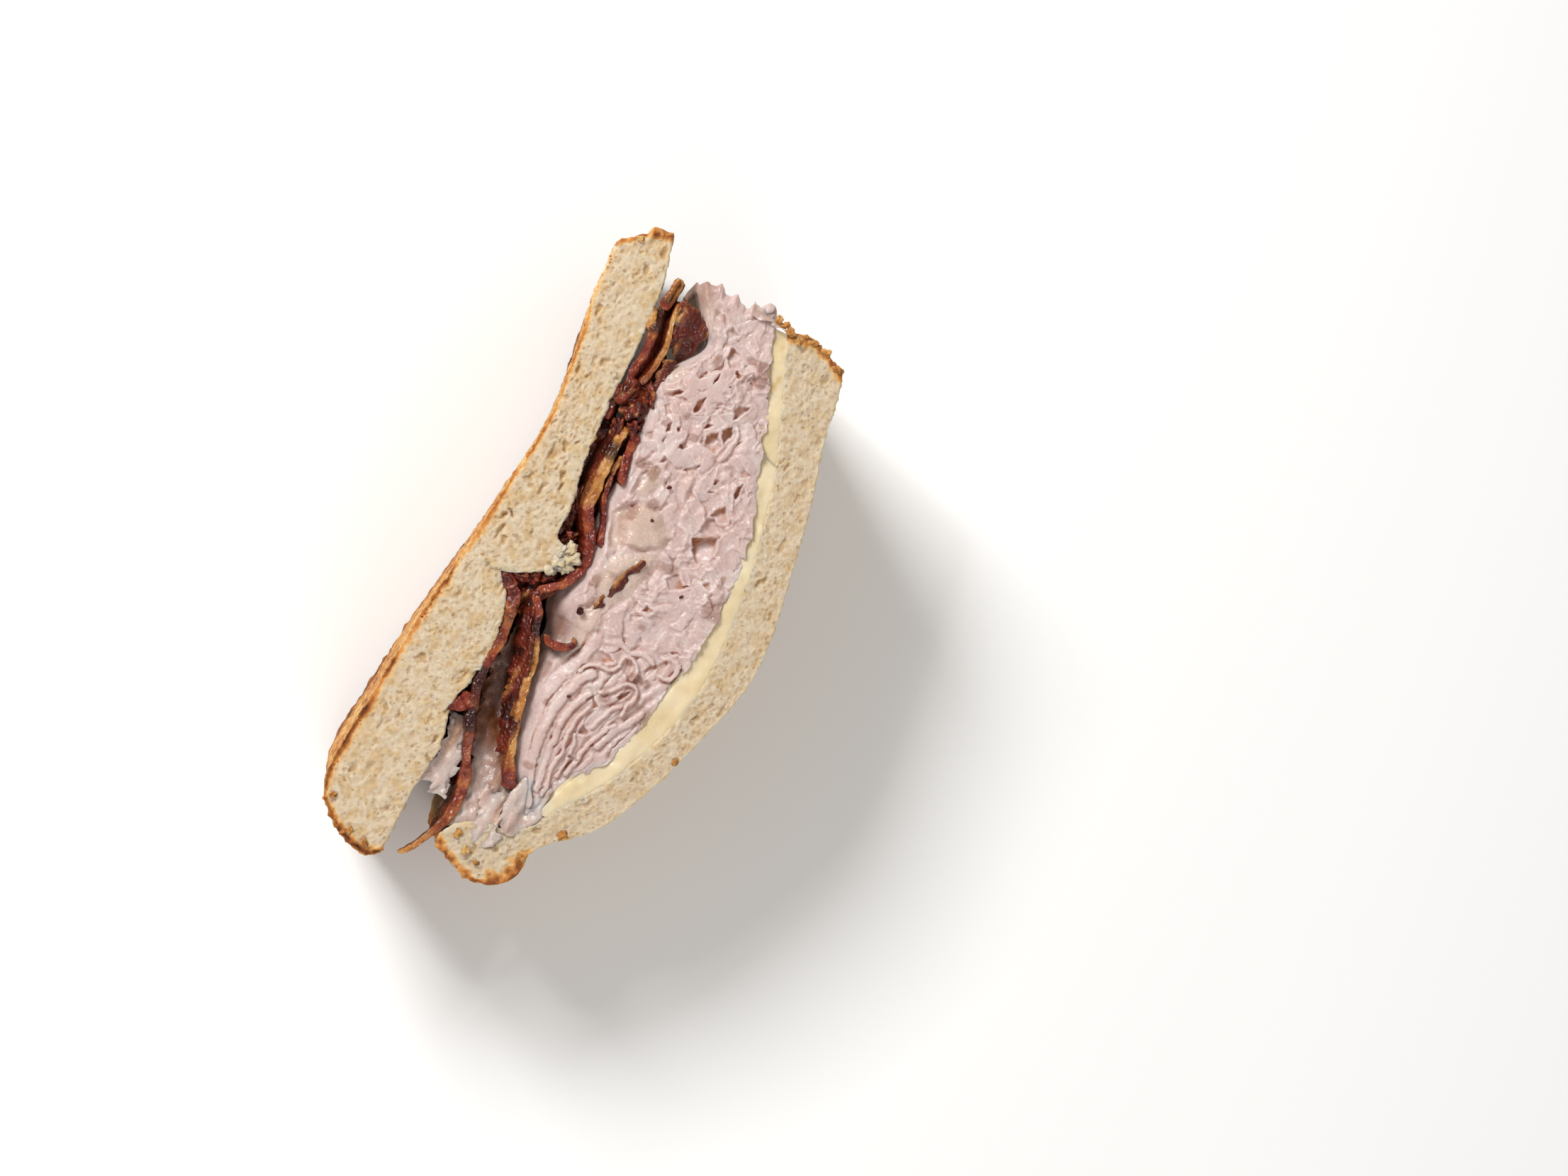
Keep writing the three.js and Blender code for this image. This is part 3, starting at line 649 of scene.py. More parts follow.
# ---- bacon ----
# Each strip: its middle line on the cut, and then, from end to end, half its thickness, its lean (how far it
# slants sideways below its edge), how deep it goes as a share, and how fat its cut edge is. The curled bit
# also has the depth share where it starts.
FULL = BACON_DEPTH
BACON = {
    "bacon_long": [
        ([(25.6, 0.2), (20, 0.4), (14, 0.8), (8.7, 1.8), (3.8, 4.4), (-0.6, 5.7), (-5.6, 4.2), (-9.6, 0.9),
          (-13.4, 2.8), (-21, 6.2), (-30.3, 8.5), (-39, 11.2), (-44.6, 14.2)],
         (0.6, 0.7, 0.8, 1.1, 1.2, 1.1, 0.9, 0.7, 0.6, 0.6, 0.65, 0.75, 1.4),
         (-3.6, -4, -4, -3.4, -1.8, -1, -0.8, -2, -3.4, -3.8, -3.4, -2.4, -0.6),
         (0.5, FULL, FULL, FULL, FULL, FULL, 0.6, 0.12),
         (0.8, 0.8, 0.7, 0.15, 0, 0, 0, 0.2, 0.75, 0.8, 0.7, 0.6, 0)),
    ],
    "bacon_hanging": [
        ([(-9.8, -6), (-12.4, -2.7), (-17, -1.5), (-25.5, -1.2), (-32.9, -0.2), (-39.6, 2.6), (-48, 6),
          (-53.5, 6.4), (-58.4, 5.4), (-62.5, 3.4), (-65.2, 1.3)],
         (1.25, 1.2, 1, 0.95, 0.95, 1, 0.9, 0.9, 0.9, 0.75, 0.35),
         (-1.5, -1.6, -1, -0.8, -0.4, -0.7, -0.9, -0.6, -0.2, 0),
         (0.5, FULL, FULL, FULL, FULL, 0.6, 0.3, 0.08, 0.03),
         (0.1, 0.45, 0.4, 0.1, 0.3, 0.35, 0.3, 0.35, 0.5, 0.9)),
        ([(-32.6, -0.4), (-35, -1.6), (-37, -3.6)], (1.8, 1.5, 0.5), (-0.6, -0.6), (0.3, 0.3), (0.1, 0, 0)),
        ([(-8.6, -6.4), (-11.6, -4.4)], (1.3, 1.3), (-0.6, -0.6), (0.2, 0.2), (0.1, 0.4)),
    ],
    "bacon_upper": [
        ([(54.9, -4.9), (47.6, -4.9), (41, -3.9), (35, -3.9), (31, -3.6)], (0.75, 0.75), (0.6, 2, 3, 3, 1.6),
         (0.1, 0.4, FULL, FULL), (0.9, 0.5, 0.35, 0.2, 0)),
        ([(55, -4.4), (51.6, -4.2), (48.4, -5)], (1.05, 1.05), (0.4, 0.4), (0.04, 0.08), (1, 0.5, 0.3)),
        ([(48.5, -6.4), (46.4, -5.4), (43.6, -5.2)], (0.7, 0.7), (-0.8, -0.8), (0.1, 0.1), (1, 0.8, 0.9)),
    ],
    "bacon_broad": [
        ([(51.2, -2), (45.8, -1.6), (42, -0.6), (38.5, -0.6), (34, -1.6)], (0.55, 0.55),
         (-1.6, -2.2, -2.4, -2.2, -1.6), (0.2, 0.2), (0.35, 0.7, 0.6, 0.5, 0.4)),
    ],
    "bacon_knot": [
        ([(30.4, -4.6), (27.4, -4.4), (25.2, -4)], (0.9, 0.9), (0.8, 1.2), (0.3, 0.3), (0, 0.1, 0.3)),
    ],
    "bacon_short": [
        ([(25.4, 2.9), (21.8, 2.9), (18.4, 3.7), (15.6, 4.6)], (0.95, 0.95), (-1, -0.8), (0.3, 0.3),
         (0.1, 0, 0)),
    ],
    "bacon_under": [
        ([(20.4, 2), (16.4, 2.4), (12.5, 3), (8.6, 4.9), (3.4, 7)], (0.55, 0.55), (-1.4, -1), (0.3, 0.3),
         (0.6, 0.4, 0.2, 0)),
    ],
    "bacon_bit_slanted": [],
    "bacon_bit_curled": [
        ([(-16.2, 5.4), (-16.8, 6.8), (-16.6, 8.9), (-16, 10.7), (-14.8, 11.4), (-14, 10.6)],
         (0.5, 0.8, 0.9, 0.8, 0.6, 0.4), (0, 0), (0.035, 0.035), (0.5, 0.2, 0.1, 0, 0.3, 0.6), -0.02),
    ],
}
LEAN_DEPTH = 3.2  # most of a strip's slant comes within this many millimetres of its edge
STRIP_STEP = 0.32


def along_list(values, s):
    """Values given from end to end, at shares of the length."""
    return np.interp(s, even(len(values)), values)


def strip_mesh(seed, line, half, lean, depth, fat, top=0.0):
    """A strip: a thick ruffled sheet that goes down from its middle line on the cut, slanting sideways."""
    middle = smooth(line, 400)
    length = np.linalg.norm(np.diff(middle, axis=0), axis=1).sum()
    tall = (np.max(depth) - top) * CUT_DEPTH
    s, t, r, quads = box_surface(even(max(24, int(length / STRIP_STEP))), even(7),
                                 dense_start(max(10, int(8 * math.sqrt(tall))), 0.1, 1.055))
    centre = at(middle, s)
    ahead = at(middle, np.clip(s + 0.01, 0, 1)) - at(middle, np.clip(s - 0.01, 0, 1))
    side = np.stack([-ahead[:, 1], ahead[:, 0]], -1) / np.linalg.norm(ahead, axis=1, keepdims=True)
    tall = (along_list(depth, s) - top) * CUT_DEPTH
    along, down = s * length, r * tall
    swell = 0.24 * noise(along / 4.5, down / 6, 0, seed) + 0.12 * noise(along / 0.9, down / 2, 3, seed)
    body = along_list(half, s) * (1 + swell)
    body = body * np.clip(np.minimum(along, length - along) / 0.9 + 0.35, 0, 1)
    body = body * (0.76 + 0.24 * np.sqrt(ramp(down, -0.05, 0.3) * ramp(tall - down, -0.05, 0.5)))
    wave = 0.28 * noise(along / 3.2, down / 5, 6, seed + 1) + 0.08 * noise(along / 0.9, down / 2, 6, seed + 3)
    wave = wave * ramp(down, 9, 0) + 0.6 * noise(along / 5, down / 7, 1, seed + 2) * ramp(down, 1.5, 7)
    u, v = (centre + side * ((t * 2 - 1) * body + wave)[:, None]).T
    v = v + along_list(lean, s) * (1 - np.exp(-down / LEAN_DEPTH))
    uneven = 0.3 + 0.55 * noise(along / 3.4, 0, 0, seed + 4) + 0.15 * noise(along / 0.9, 0, 0, seed + 5)
    blister = 0.14 * noise(along / 0.6, t * 4, down / 0.6, seed + 9)
    q = top + (down + uneven * (1 - down / tall) + blister * ramp(down, 1, 0)) / CUT_DEPTH
    bands = noise(along / 16, down / 2.6, 2, seed + 6)
    face = ramp(down + 0.15 * noise(along / 1.5, down, 8, seed + 8), 0.15, 0.5)
    marks = {"fat": np.clip(along_list(fat, s) + 0.5 * bands * ramp(down, 0.6, 2), 0, 1),
             "deep": face * (1 - 0.25 * (bands > 0.4)),
             "burnt": 0.9 * ramp(noise(along / 5, down / 4, 4, seed + 7), 0.5, 0.9)}
    return seat_faces(u, v, q, quads) + (marks,)


def seat_faces(u, v, q, quads):
    """The points seated in the part's frame, and their faces turned outwards."""
    points = seat(u, v, q)
    return points, outward(points, quads)


def lump_mesh(seed, u, v, q, radii, turn, fat=0.0, rough=0.5, fine=(30, 54)):
    """A crumpled nugget: a ball stretched to its radii in millimetres, turned, and folded by noise."""
    across, around = fine
    lat = np.linspace(0, math.pi, across)[1:-1]
    lon = np.linspace(0, 2 * math.pi, around, endpoint=False)
    lat_grid, lon_grid = (g.ravel() for g in np.meshgrid(lat, lon, indexing="ij"))
    ball = np.sin(lat_grid) * np.cos(lon_grid), np.sin(lat_grid) * np.sin(lon_grid), np.cos(lat_grid)
    ball = np.vstack([np.stack(ball, -1), [(0, 0, 1), (0, 0, -1)]])
    size = 1 + rough * noise(*(ball.T * 1.6), seed) + 0.5 * rough * noise(*(ball.T * 3.5), seed + 1)
    size = size + 0.22 * rough * noise(*(ball.T * 8), seed + 2)
    x, y, z = (ball * size[:, None] * radii).T
    c, n = math.cos(math.radians(turn)), math.sin(math.radians(turn))
    grid = np.arange((across - 2) * around).reshape(across - 2, around)
    after = np.roll(grid, -1, 1)
    quads = [np.stack([grid[:-1], grid[1:], after[1:], after[:-1]], -1).reshape(-1, 4)]
    # Each pole's ring of faces has two of the ring's steps in every square.
    pairs = np.arange(0, around, 2)
    for pole, row, turned in ((grid.size, 0, 1), (grid.size + 1, -1, -1)):
        ring = np.stack([grid[row][pairs], after[row][pairs], after[row][pairs + 1]][::turned], -1)
        quads.append(np.column_stack([np.full(len(pairs), pole), ring]))
    # painted shade: the nugget darker in its dents and lighter on its bulges
    marks = {"fat": np.clip(fat + 0.6 * noise(*(ball.T * 2.2), seed + 3), 0, 1),
             "deep": np.clip(0.5 + 0.7 * noise(*(ball.T * 2.6), seed + 4) - 0.8 * (size - 1), 0, 1),
             "burnt": 0.7 * ramp(noise(*(ball.T * 2.4), seed + 5), 0.3, 0.7)}
    place = u + c * x - n * y, v + n * x + c * y, q - z / CUT_DEPTH
    return seat_faces(*place, np.vstack(quads)) + (marks,)


def joined(parts):
    """Several meshes as one."""
    starts = np.cumsum([0] + [len(points) for points, _, _ in parts])
    quads = np.vstack([quads + start for (_, quads, _), start in zip(parts, starts)])
    marks = {mark: np.concatenate([marks[mark] for _, _, marks in parts]) for mark in parts[0][2]}
    return np.vstack([points for points, _, _ in parts]), quads, marks


def broad_mesh(near, far, near_q, far_q, thick, seed, curl, ridge=(4.5, 3.0), ragged=0.5, count=(84, 37)):
    """A broad curled sheet whose face shows, from a near line to a far line, each with its depth share.

    Gives its points, faces, u and v, and how near each point is to the sheet's rim."""
    s, t, r, quads = box_surface(even(count[0]), even(count[1]), even(4))
    low, high = smooth(near), smooth(far)
    u, v = ((1 - t)[:, None] * at(low, s) + t[:, None] * at(high, s)).T
    q = (1 - t) * along_list(near_q, s) + t * along_list(far_q, s)
    rise = curl * (noise(u / ridge[0], v / ridge[1], 0, seed) + 0.4 * noise(u / 1.6, v / 1.3, 0, seed + 1))
    wide = np.linalg.norm(low.mean(0) - high.mean(0))
    long = np.linalg.norm(low[0] - low[-1])
    edge = np.minimum(np.minimum(s, 1 - s) * long, np.minimum(t, 1 - t) * wide)
    tear = noise(u / 1.5, v / 1.5, 0, seed + 2) + 0.5 * noise(u / 0.6, v / 0.6, 0, seed + 3)
    tear = ragged * tear * ramp(edge, 1.5, 0)
    body = thick * (0.35 + 0.65 * ramp(edge, 0, 0.7)) * (1 + 0.35 * noise(u / 1.2, v / 1.2, 0, seed + 3))
    points, quads = seat_faces(u + tear, v + tear, q + ((r - 0.5) * body - rise) / CUT_DEPTH, quads)
    return points, quads, u, v, s, ramp(edge, 0.9, 0.1)


def bacon_sheet(seed, near, far, near_q, far_q, thick, fat, curl, rim_fat=0.3, **shape):
    points, quads, u, v, s, rim = broad_mesh(near, far, near_q, far_q, thick, seed, curl, **shape)
    streak = noise(u / 7, v / 1.1, 0, seed + 4)
    marks = {"fat": np.clip(along_list(fat, s) * 0.6 + rim_fat * rim + 0.6 * streak, 0, 1),
             "deep": np.clip(0.85 - rim_fat * rim - 0.5 * ramp(streak, 0.2, 0.6), 0, 1),
             "burnt": 0.9 * ramp(noise(u / 3, v / 3, 0, seed + 6), 0.45, 0.8)}
    return points, quads, marks


# Broad pieces of bacon: the curled one at the deep end, a torn shard on the turkey, and the ones below the
# strips. Each one: its near and far line, the depth shares along them, its thickness, its fat from end to
# end, its curl, and where it isn't the usual, the fat of its rim.
BACON_SHEETS = {
    "bacon_broad": [
        ([(52.6, -2.2), (47.5, -1.4), (42.4, -0.2)], [(49.6, 5.2), (45.5, 4.8), (40.4, 2.8)],
         (-0.01, -0.005, 0.01), (0.015, 0.03, 0.05), 0.9, (0.1, 0), 0.9),
        ([(47.5, -4.8), (41, -3.8), (33, -3.4)], [(47, -0.6), (41, 0.4), (33, 1)],
         (0.11, 0.08, 0.07), (0.09, 0.08, 0.06), 1.2, (0.1, 0.3), 1.3),
        ([(40.5, 0.2), (36.5, 0.6), (32.5, 1.2)], [(41, 2.6), (37.5, 3), (33.5, 3.4)],
         (0.02, 0.02), (0.04, 0.035, 0.03), 0.9, (0.5, 0.2), 0.9),
    ],
    "bacon_long": [
        ([(26, -5.4), (16, -4.4), (5, -1.8)], [(26, 2.8), (16, 3.6), (6, 4.4)],
         (0.07, 0.08, 0.1), (0.07, 0.09, 0.12), 1.2, (0.1, 0), 1.2),
        ([(-9.6, -5.4), (-7.4, -0.6), (-3.4, 3)], [(-14, -1), (-10.5, 2.2), (-4, 6.6)],
         (0.05, 0.06, 0.09), (0.06, 0.07, 0.08), 1.2, (0.1, 0.4), 1.0),
        ([(-9.6, 0.6), (-13.4, 2.4), (-21, 5.8), (-30.3, 8.1), (-39, 10.8)],
         [(-10.5, -2.9), (-14, -1.2), (-21.5, 2), (-31, 4.9), (-39.5, 8.6)],
         (0.006, 0.006), (0.06, 0.05), 0.8, (0, 0), 0.5, 0.0),
    ],
    "bacon_bit_slanted": [
        ([(5.4, 14.6), (1.4, 12.9), (-3, 12), (-7.2, 10.6)],
         [(4.8, 15.4), (0.2, 14.6), (-3.6, 14.2), (-7.8, 12)],
         (-0.02, -0.012), (-0.01, 0.01), 0.9, (0.5, 0), 0.7, 0.4),
    ],
}
FINE_SHEET = (150, 24)  # grid of the one long narrow sheet, below the long strip's face
# Nuggets: u, v, depth share, radii, turn in degrees, fat and roughness.
BACON_LUMPS = {
    "bacon_knot": [
        (31.6, -2.4, 0.02, (2.8, 2, 2.2), 20, 0.15, 0.4), (29.4, 0.2, 0.012, (2.6, 2.2, 1.9), 60, 0.25, 0.4),
        (24.6, -1.4, 0.02, (2, 1.2, 1.5), -20, 0.2, 0.45),
        (30.2, -4.4, 0.02, (2.2, 1.1, 1.5), -10, 0.1, 0.45),
        (33, 0.9, 0.02, (2.6, 1.1, 1.6), -40, 0.1), (26.6, 1.4, 0.02, (2, 1.5, 1.8), -10, 0.2),
    ],
    "bacon_long": [
        (4.4, -0.9, 0.05, (2.4, 1.2, 1.5), -20, 0, 0.6), (2.2, 0.9, 0.045, (1.8, 1.2, 1.5), 40, 0.1, 0.6),
        (-7.4, -1.4, 0.03, (1.4, 1.2, 1.4), 20), (-6.2, 1, 0.03, (1.5, 1.1, 1.3), 60, 0.1),
        (-8.4, -3.8, 0.025, (1.6, 1.1, 1.3), 80), (9.6, -1.8, 0.05, (2.6, 1.1, 1.5), -15),
    ],
}


def build_bacon():
    material = bacon_material()
    kinds = ((strip_mesh, BACON, 100), (bacon_sheet, BACON_SHEETS, 500), (lump_mesh, BACON_LUMPS, 900))
    for k, node in enumerate(BACON):
        parts = []
        for make, table, first in kinds:
            for j, facts in enumerate(table.get(node, [])):
                extra = {"count": FINE_SHEET} if make is bacon_sheet and len(facts[0]) > 4 else {}
                parts.append(make(first + 40 * k + 9 * j, *facts, **extra))
        points, quads, marks = joined(parts)
        piece(node + "_strip", points, quads, material, nodes=[node], marks=marks)
    return material


# ---- crumbs and specks ----
# Each one: u, v, how high it stands above the cut in millimetres, its radius, and how brown or dark it is.
SOFT_CRUMBS = [(57.4, 15.4, 0.4, 0.9, 0.4), (57, 17, 0.5, 0.8, 0.5), (56.4, 18.4, 0.6, 1, 0.45),
               (55.6, 20.6, 0.4, 0.9, 0.35), (56.6, 23.4, 0.3, 0.8, 0.5), (56.2, 26.2, 0.3, 0.9, 0.4),
               (54.6, 29.6, 0.2, 0.8, 0.5), (-25, 38.8, 0.2, 0.7, 0.5), (-47.6, 26.9, 0.2, 0.9, 0.45),
               (-55, 22, 0.2, 0.8, 0.5), (-58.6, 12.2, 0.5, 0.9, 0.3), (-56.6, 9.4, 0.3, 0.8, 0.4),
               (-59.8, 15, 0.4, 0.7, 0.5)]
GRILLED_CRUMBS = [(0.3, 2, -0.1, 1.3, 0), (-1.4, 3.2, -0.1, 1.5, 0), (-3.3, 2.6, -0.1, 1.4, 0),
                  (-0.8, 0.9, 0, 1.2, 0), (-2.6, 1.3, 0.1, 1.5, 0), (-4.6, 0.7, -0.1, 1.2, 0),
                  (-66.4, -5.2, 0.3, 0.8, 0.5), (-65.6, -8.6, 0.3, 0.7, 0.45), (-61.4, -14.6, 0.2, 0.7, 0.5),
                  (57.8, -14.6, 0.2, 0.7, 0.3), (33, -6.6, 0.3, 0.5, 0.1)]
SPECKS = [(-8.9, 9.2, 0.5, 0.8, 0.9), (19.6, 12.6, 0.7, 0.4, 0.5), (27.4, 10.8, 0.6, 0.35, 0.6),
          (41.6, 13.4, 0.6, 0.4, 0.5), (2.6, 24.6, 0.5, 0.4, 0.6), (-24, 15.2, 0.6, 0.35, 0.5),
          (12.6, 12.8, 1, 0.35, 0.7), (48.8, 4.2, 0.8, 0.4, 0.6)]


def crumbs(name, spots, material, mark, seed):
    parts = []
    for k, (u, v, rise, radius, shade) in enumerate(spots):
        radii = (radius, 0.75 * radius, 0.6 * radius)
        points, quads, _ = lump_mesh(seed + 11 * k, u, v, -rise / CUT_DEPTH, radii, 50 * k, rough=0.7,
                                     fine=(14, 20))
        parts.append((points, quads, {mark: np.full(len(points), shade)}))
    points, quads, marks = joined(parts)
    piece(name, points, quads, material, marks=marks)


# ---- turkey ----
# Pockets between the folds: the outline on the cut face, the depth, and where the floor slopes, how much
# deeper it gets for each millimetre towards +u and +v.
POCKETS = [
    ([(48.4, 10), (48.6, 10.7), (47.4, 13.2), (46, 13.5), (44.6, 11.7), (46.3, 10.1)], 1.6, 0.3, -0.4),
    ([(40.3, 10.2), (41.6, 10.2), (43.4, 10.6), (41.6, 10.9)], 1.8), ([(34.7, 9.5), (36.5, 9.4), (37.9, 10.8),
    (35.3, 10.9), (34, 10.2)], 1.4, 0, -0.5), ([(39.8, 16.5), (40, 18.8), (38.5, 18.1), (36.3, 17.1),
    (38.4, 16.2)], 2, -0.2, 0.2), ([(44.5, 13), (45.3, 13), (44.5, 14.7), (43.8, 14.2)], 1.6), ([(28, 7.1),
    (29.6, 6.5), (30.6, 6.8), (28.9, 7.7)], 1.2), ([(29.2, 9), (30.1, 8.5), (30.7, 9.1), (29.8, 9.5)], 1.2),
    ([(33.7, 16), (35.4, 17.6), (33.4, 18.3), (31.5, 18), (32.3, 17)], 2.6, 0.3, 0), ([(31.5, 14.1),
    (32.4, 14.9), (33.1, 15.6), (30.9, 17.7), (29.3, 17.1), (29.4, 14.6)], 1.2, 0.5, -0.3), ([(32.4, 13.2),
    (33.8, 13.3), (34, 14.4), (32.9, 14)], 1.8), ([(33.8, 2.8), (35, 3.9), (36.8, 5.5), (36.7, 6.5),
    (34.9, 4.8)], 1.6, 0.3, 0), ([(21.8, 23.7), (20.6, 22.8), (18.9, 22.1), (18, 24), (18.9, 25.6)],
    2.6, 0.3, -0.2), ([(17.9, 21.7), (18.7, 23), (17.7, 24.6), (16.2, 25.2), (13.5, 20.9), (15, 21.3)],
    1.5, 0.25, 0), ([(13.3, 21.2), (15.6, 25.4), (13.3, 26.2), (10.7, 26.1), (9.4, 24.1), (11, 22.4)],
    3.4, 0.2, -0.5), ([(4, 20.2), (6.2, 22.2), (4.8, 23.9), (5.2, 25.2), (3.6, 23.7), (2.8, 22.1)],
    2.2, 0.2, 0.3), ([(6.5, 27.2), (7.8, 28.2), (6, 28.8)], 1.8), ([(23, 12.9), (24.6, 13.9), (26.5, 15.8),
    (24.8, 15.7), (23.8, 14)], 1.3, 0, -0.3), ([(14.2, 17), (13.9, 19.1), (11.3, 20.6), (10.5, 20.1),
    (12, 18)], 0.6, 0, 0.2), ([(24.1, 19.5), (25.1, 19.5), (25.3, 20.4), (24.4, 20.1)], 1.2), ([(22.2, 19.4),
    (22.8, 19.5), (23.2, 20.7), (22.4, 20.3)], 1.2), ([(22.5, 8.8), (24.3, 8.9), (24.1, 10.1), (23.1, 9.7)],
    1.3), ([(23.9, 23.9), (25.8, 23.6), (26.7, 24.5), (24.9, 25), (23.5, 24.8)], 2.2), ([(19.9, 6.5),
    (20.7, 7.7), (18.9, 7.1)], 1.2), ([(-17, 15.2), (-15.1, 15.2), (-13.5, 15.7), (-13.6, 18.3),
    (-14.3, 19.7), (-15.4, 17.6)], 2.4, 0, 0.3), ([(-15.2, 21.9), (-12.6, 21.1), (-13, 22.8), (-14.2, 23.6),
    (-15.5, 23.1)], 2, 0.5, 0), ([(-15.4, 24), (-13.9, 24.7), (-15.1, 26.6), (-15.9, 26.2)], 1.8),
    ([(-19.6, 23.2), (-18.6, 23.4), (-17.4, 25), (-18.4, 25), (-19.8, 23.8)], 2.2), ([(-28.2, 19.8),
    (-27.2, 20.1), (-28.1, 22.2), (-28.7, 21.4), (-29.2, 20.2)], 2.2), ([(-34.2, 20.3), (-33.4, 20.5),
    (-33.8, 22.7), (-34.6, 22.2)], 1.8), ([(-22.2, 19.2), (-21.6, 19.2), (-23.1, 21.2), (-24, 20.3)], 1.8),
    ([(-11.4, 27.2), (-10.4, 27), (-9, 28), (-9.8, 28.7), (-11.9, 28.6), (-12.4, 27.8)], 2.4, 0.3, 0),
    ([(-8.7, 22.9), (-8, 24.3), (-8.2, 25.1), (-9.3, 24.1)], 1.4), ([(-21, 12.5), (-20.4, 13.3),
    (-19.5, 14.1), (-20.9, 14), (-21.5, 13.3)], 1.3), ([(-7.5, 27.7), (-6.7, 29.3), (-7, 30.2), (-7.8, 28.7)],
    1.8), ([(-3.2, 19.4), (-1.8, 19.8), (-2.2, 21.6), (-3.4, 20.8)], 1), ([(50.4, 7.8), (52, 8.6), (51, 10.2),
    (49.6, 9)], 1),
]
# Broad smooth folds: outline, how high it stands, how far in from its edge it rises, and how much dressing it
# has.
PILLOWS = [
    ([(4.5, 7.7), (10.4, 4.9), (13.2, 7.7), (10.4, 8.4), (5.9, 10.4), (3.9, 9.8)], -1, 2, 0.7), ([(5.9, 10.2),
    (10.5, 8.3), (13.4, 8), (14.8, 10.1), (14.8, 13.4), (11.5, 17.2), (9, 17.9), (7, 14.6)], 0.8, 3, 1),
    ([(15.5, 7.2), (21, 6.9), (22.5, 8.6), (20, 11.5), (15.8, 9.8)], 0.5, 2, 0.8), ([(-2, 8.4), (3.2, 9.4),
    (6.4, 13.6), (7.6, 17.4), (2, 17.6), (-4, 15.4), (-7.5, 12)], 0.4, 3, 0.9), ([(-8.5, 8.6), (-6, 12.6),
    (-9.5, 14), (-15, 13), (-20, 10.6), (-14, 9.6)], 0.2, 2.2, 0.8), ([(22, 14), (23.9, 14.4), (24.2, 15.8),
    (22.9, 16.7), (19.8, 16.8), (17, 17.1), (18, 15.3), (20.1, 14.4)], 0.7, 1.2, 0.2), ([(34.9, 1.5),
    (36.3, 3.8), (37.8, 5), (38.5, 5.4), (37.4, 6.6), (36.5, 6), (34.6, 3.7)], 0.6, 1, 0.5), ([(38, 1.4),
    (40.4, 1.8), (41.5, 2.9), (40.8, 4.8), (39.4, 5.4), (36.8, 3.1)], -0.4, 1.5, 0.9), ([(55.7, -1.2),
    (56.7, 1.3), (54.2, 4.3), (50.3, 6.1), (48.3, 5.2), (49.3, 2.4), (52.5, -0.1)], 0.5, 2.6, 0.6),
    ([(-19, 26.4), (-15.8, 27.3), (-13.5, 28.6), (-11.4, 31), (-12.6, 32.2), (-15.9, 29.9), (-19.5, 28)],
    0.3, 1.6, 0), ([(24.5, 20.6), (27.5, 19), (28.4, 21.4), (26.4, 23.2)], 0.5, 1.4, 0), ([(42.8, 14.8),
    (44.6, 15.4), (43.4, 17.4), (41.2, 17)], 0.5, 1.2, 0),
]
# Folds seen edge on: the middle line, half the width, and how high the edge stands.
EDGE_FOLDS = [
    ([(-43.5, 15.6), (-39.3, 13.4), (-34.8, 12), (-30.3, 11.3), (-25.3, 11.3), (-21, 12.1), (-17.7, 13.4),
    (-14.9, 14.4), (-12, 14.8)], 1.3, 0.1), ([(-45.5, 18), (-41.5, 16.2), (-35.1, 14.4), (-29.7, 13.8),
    (-24.3, 14.4), (-20, 15.6), (-17.9, 16.9)], 1.1, 0.5), ([(-42, 18.4), (-36.8, 17.3), (-32.4, 16.7),
    (-28, 16.4), (-24.3, 17.1), (-21.8, 18.3)], 0.8, 0.3), ([(-42.5, 19.9), (-37.1, 19), (-33.5, 19.1),
    (-30, 18.5), (-26.6, 18.6), (-24, 19.5)], 0.55, 0.5), ([(-38.3, 20.5), (-35, 20.6), (-31.6, 20.5),
    (-29.6, 19.6)], 0.5, 0.35), ([(-37, 21.9), (-31.5, 22.6), (-27.6, 23.6), (-24.6, 25.6)], 0.6, 0.3),
    ([(-29.5, 24.6), (-25, 26.4), (-20.4, 28.8)], 0.9, 0.2), ([(-27, 21.8), (-24.6, 22.6), (-22.2, 23.6),
    (-20.8, 24.8)], 0.6, 0.3), ([(-18.6, 14.9), (-17.3, 15.4), (-16.4, 16.4), (-16, 18), (-15.8, 19.7),
    (-14.4, 20.6), (-13.1, 20.5), (-12.2, 21.4), (-12.6, 23.5), (-14, 24.4), (-15.4, 23.9)], 0.5, 0.75),
    ([(-20.4, 20), (-19.3, 21.5), (-18.1, 22.3), (-16.5, 24), (-16.8, 25.6), (-18.2, 26.2), (-20.2, 25.8),
    (-22.4, 25.7)], 0.5, 0.7), ([(-12.3, 28.7), (-12.2, 30), (-10.8, 31), (-9.3, 30.5), (-8.6, 28.8),
    (-9.1, 27.3)], 0.6, 0.5), ([(-11.6, 16.6), (-10.6, 19), (-11.4, 21.4), (-10.2, 23.6), (-10.8, 26)],
    0.7, 0.35), ([(28.6, 18.2), (30.6, 19), (33, 19.4), (35.4, 18.6)], 0.6, 0.5),
]
# How far the turkey's side shows below its edge along the bacon, by place along the cut.
FLANK = [(-50, 0.6), (-44, 1.6), (-36, 3), (-24, 3.4), (-18, 4.8), (-12, 5.2), (-7, 3), (-1, 1.8), (12, 1.4),
         (30, 1), (60, 0)]
BROWN_LINE = [(13.4, 21.3), (14.8, 23.3), (15.9, 25.3)]  # a browned edge in the high clump
FLATTER = 0.58  # share of the tongues' drawn height that is used
SHALLOWER = 0.42  # share of the pockets' and moats' drawn depth that is used
OVER_CHEESE = 1.2  # how far the turkey hangs over the cheese, millimetres
SHAVED = 0.7  # thickness of a single slice of turkey, millimetres


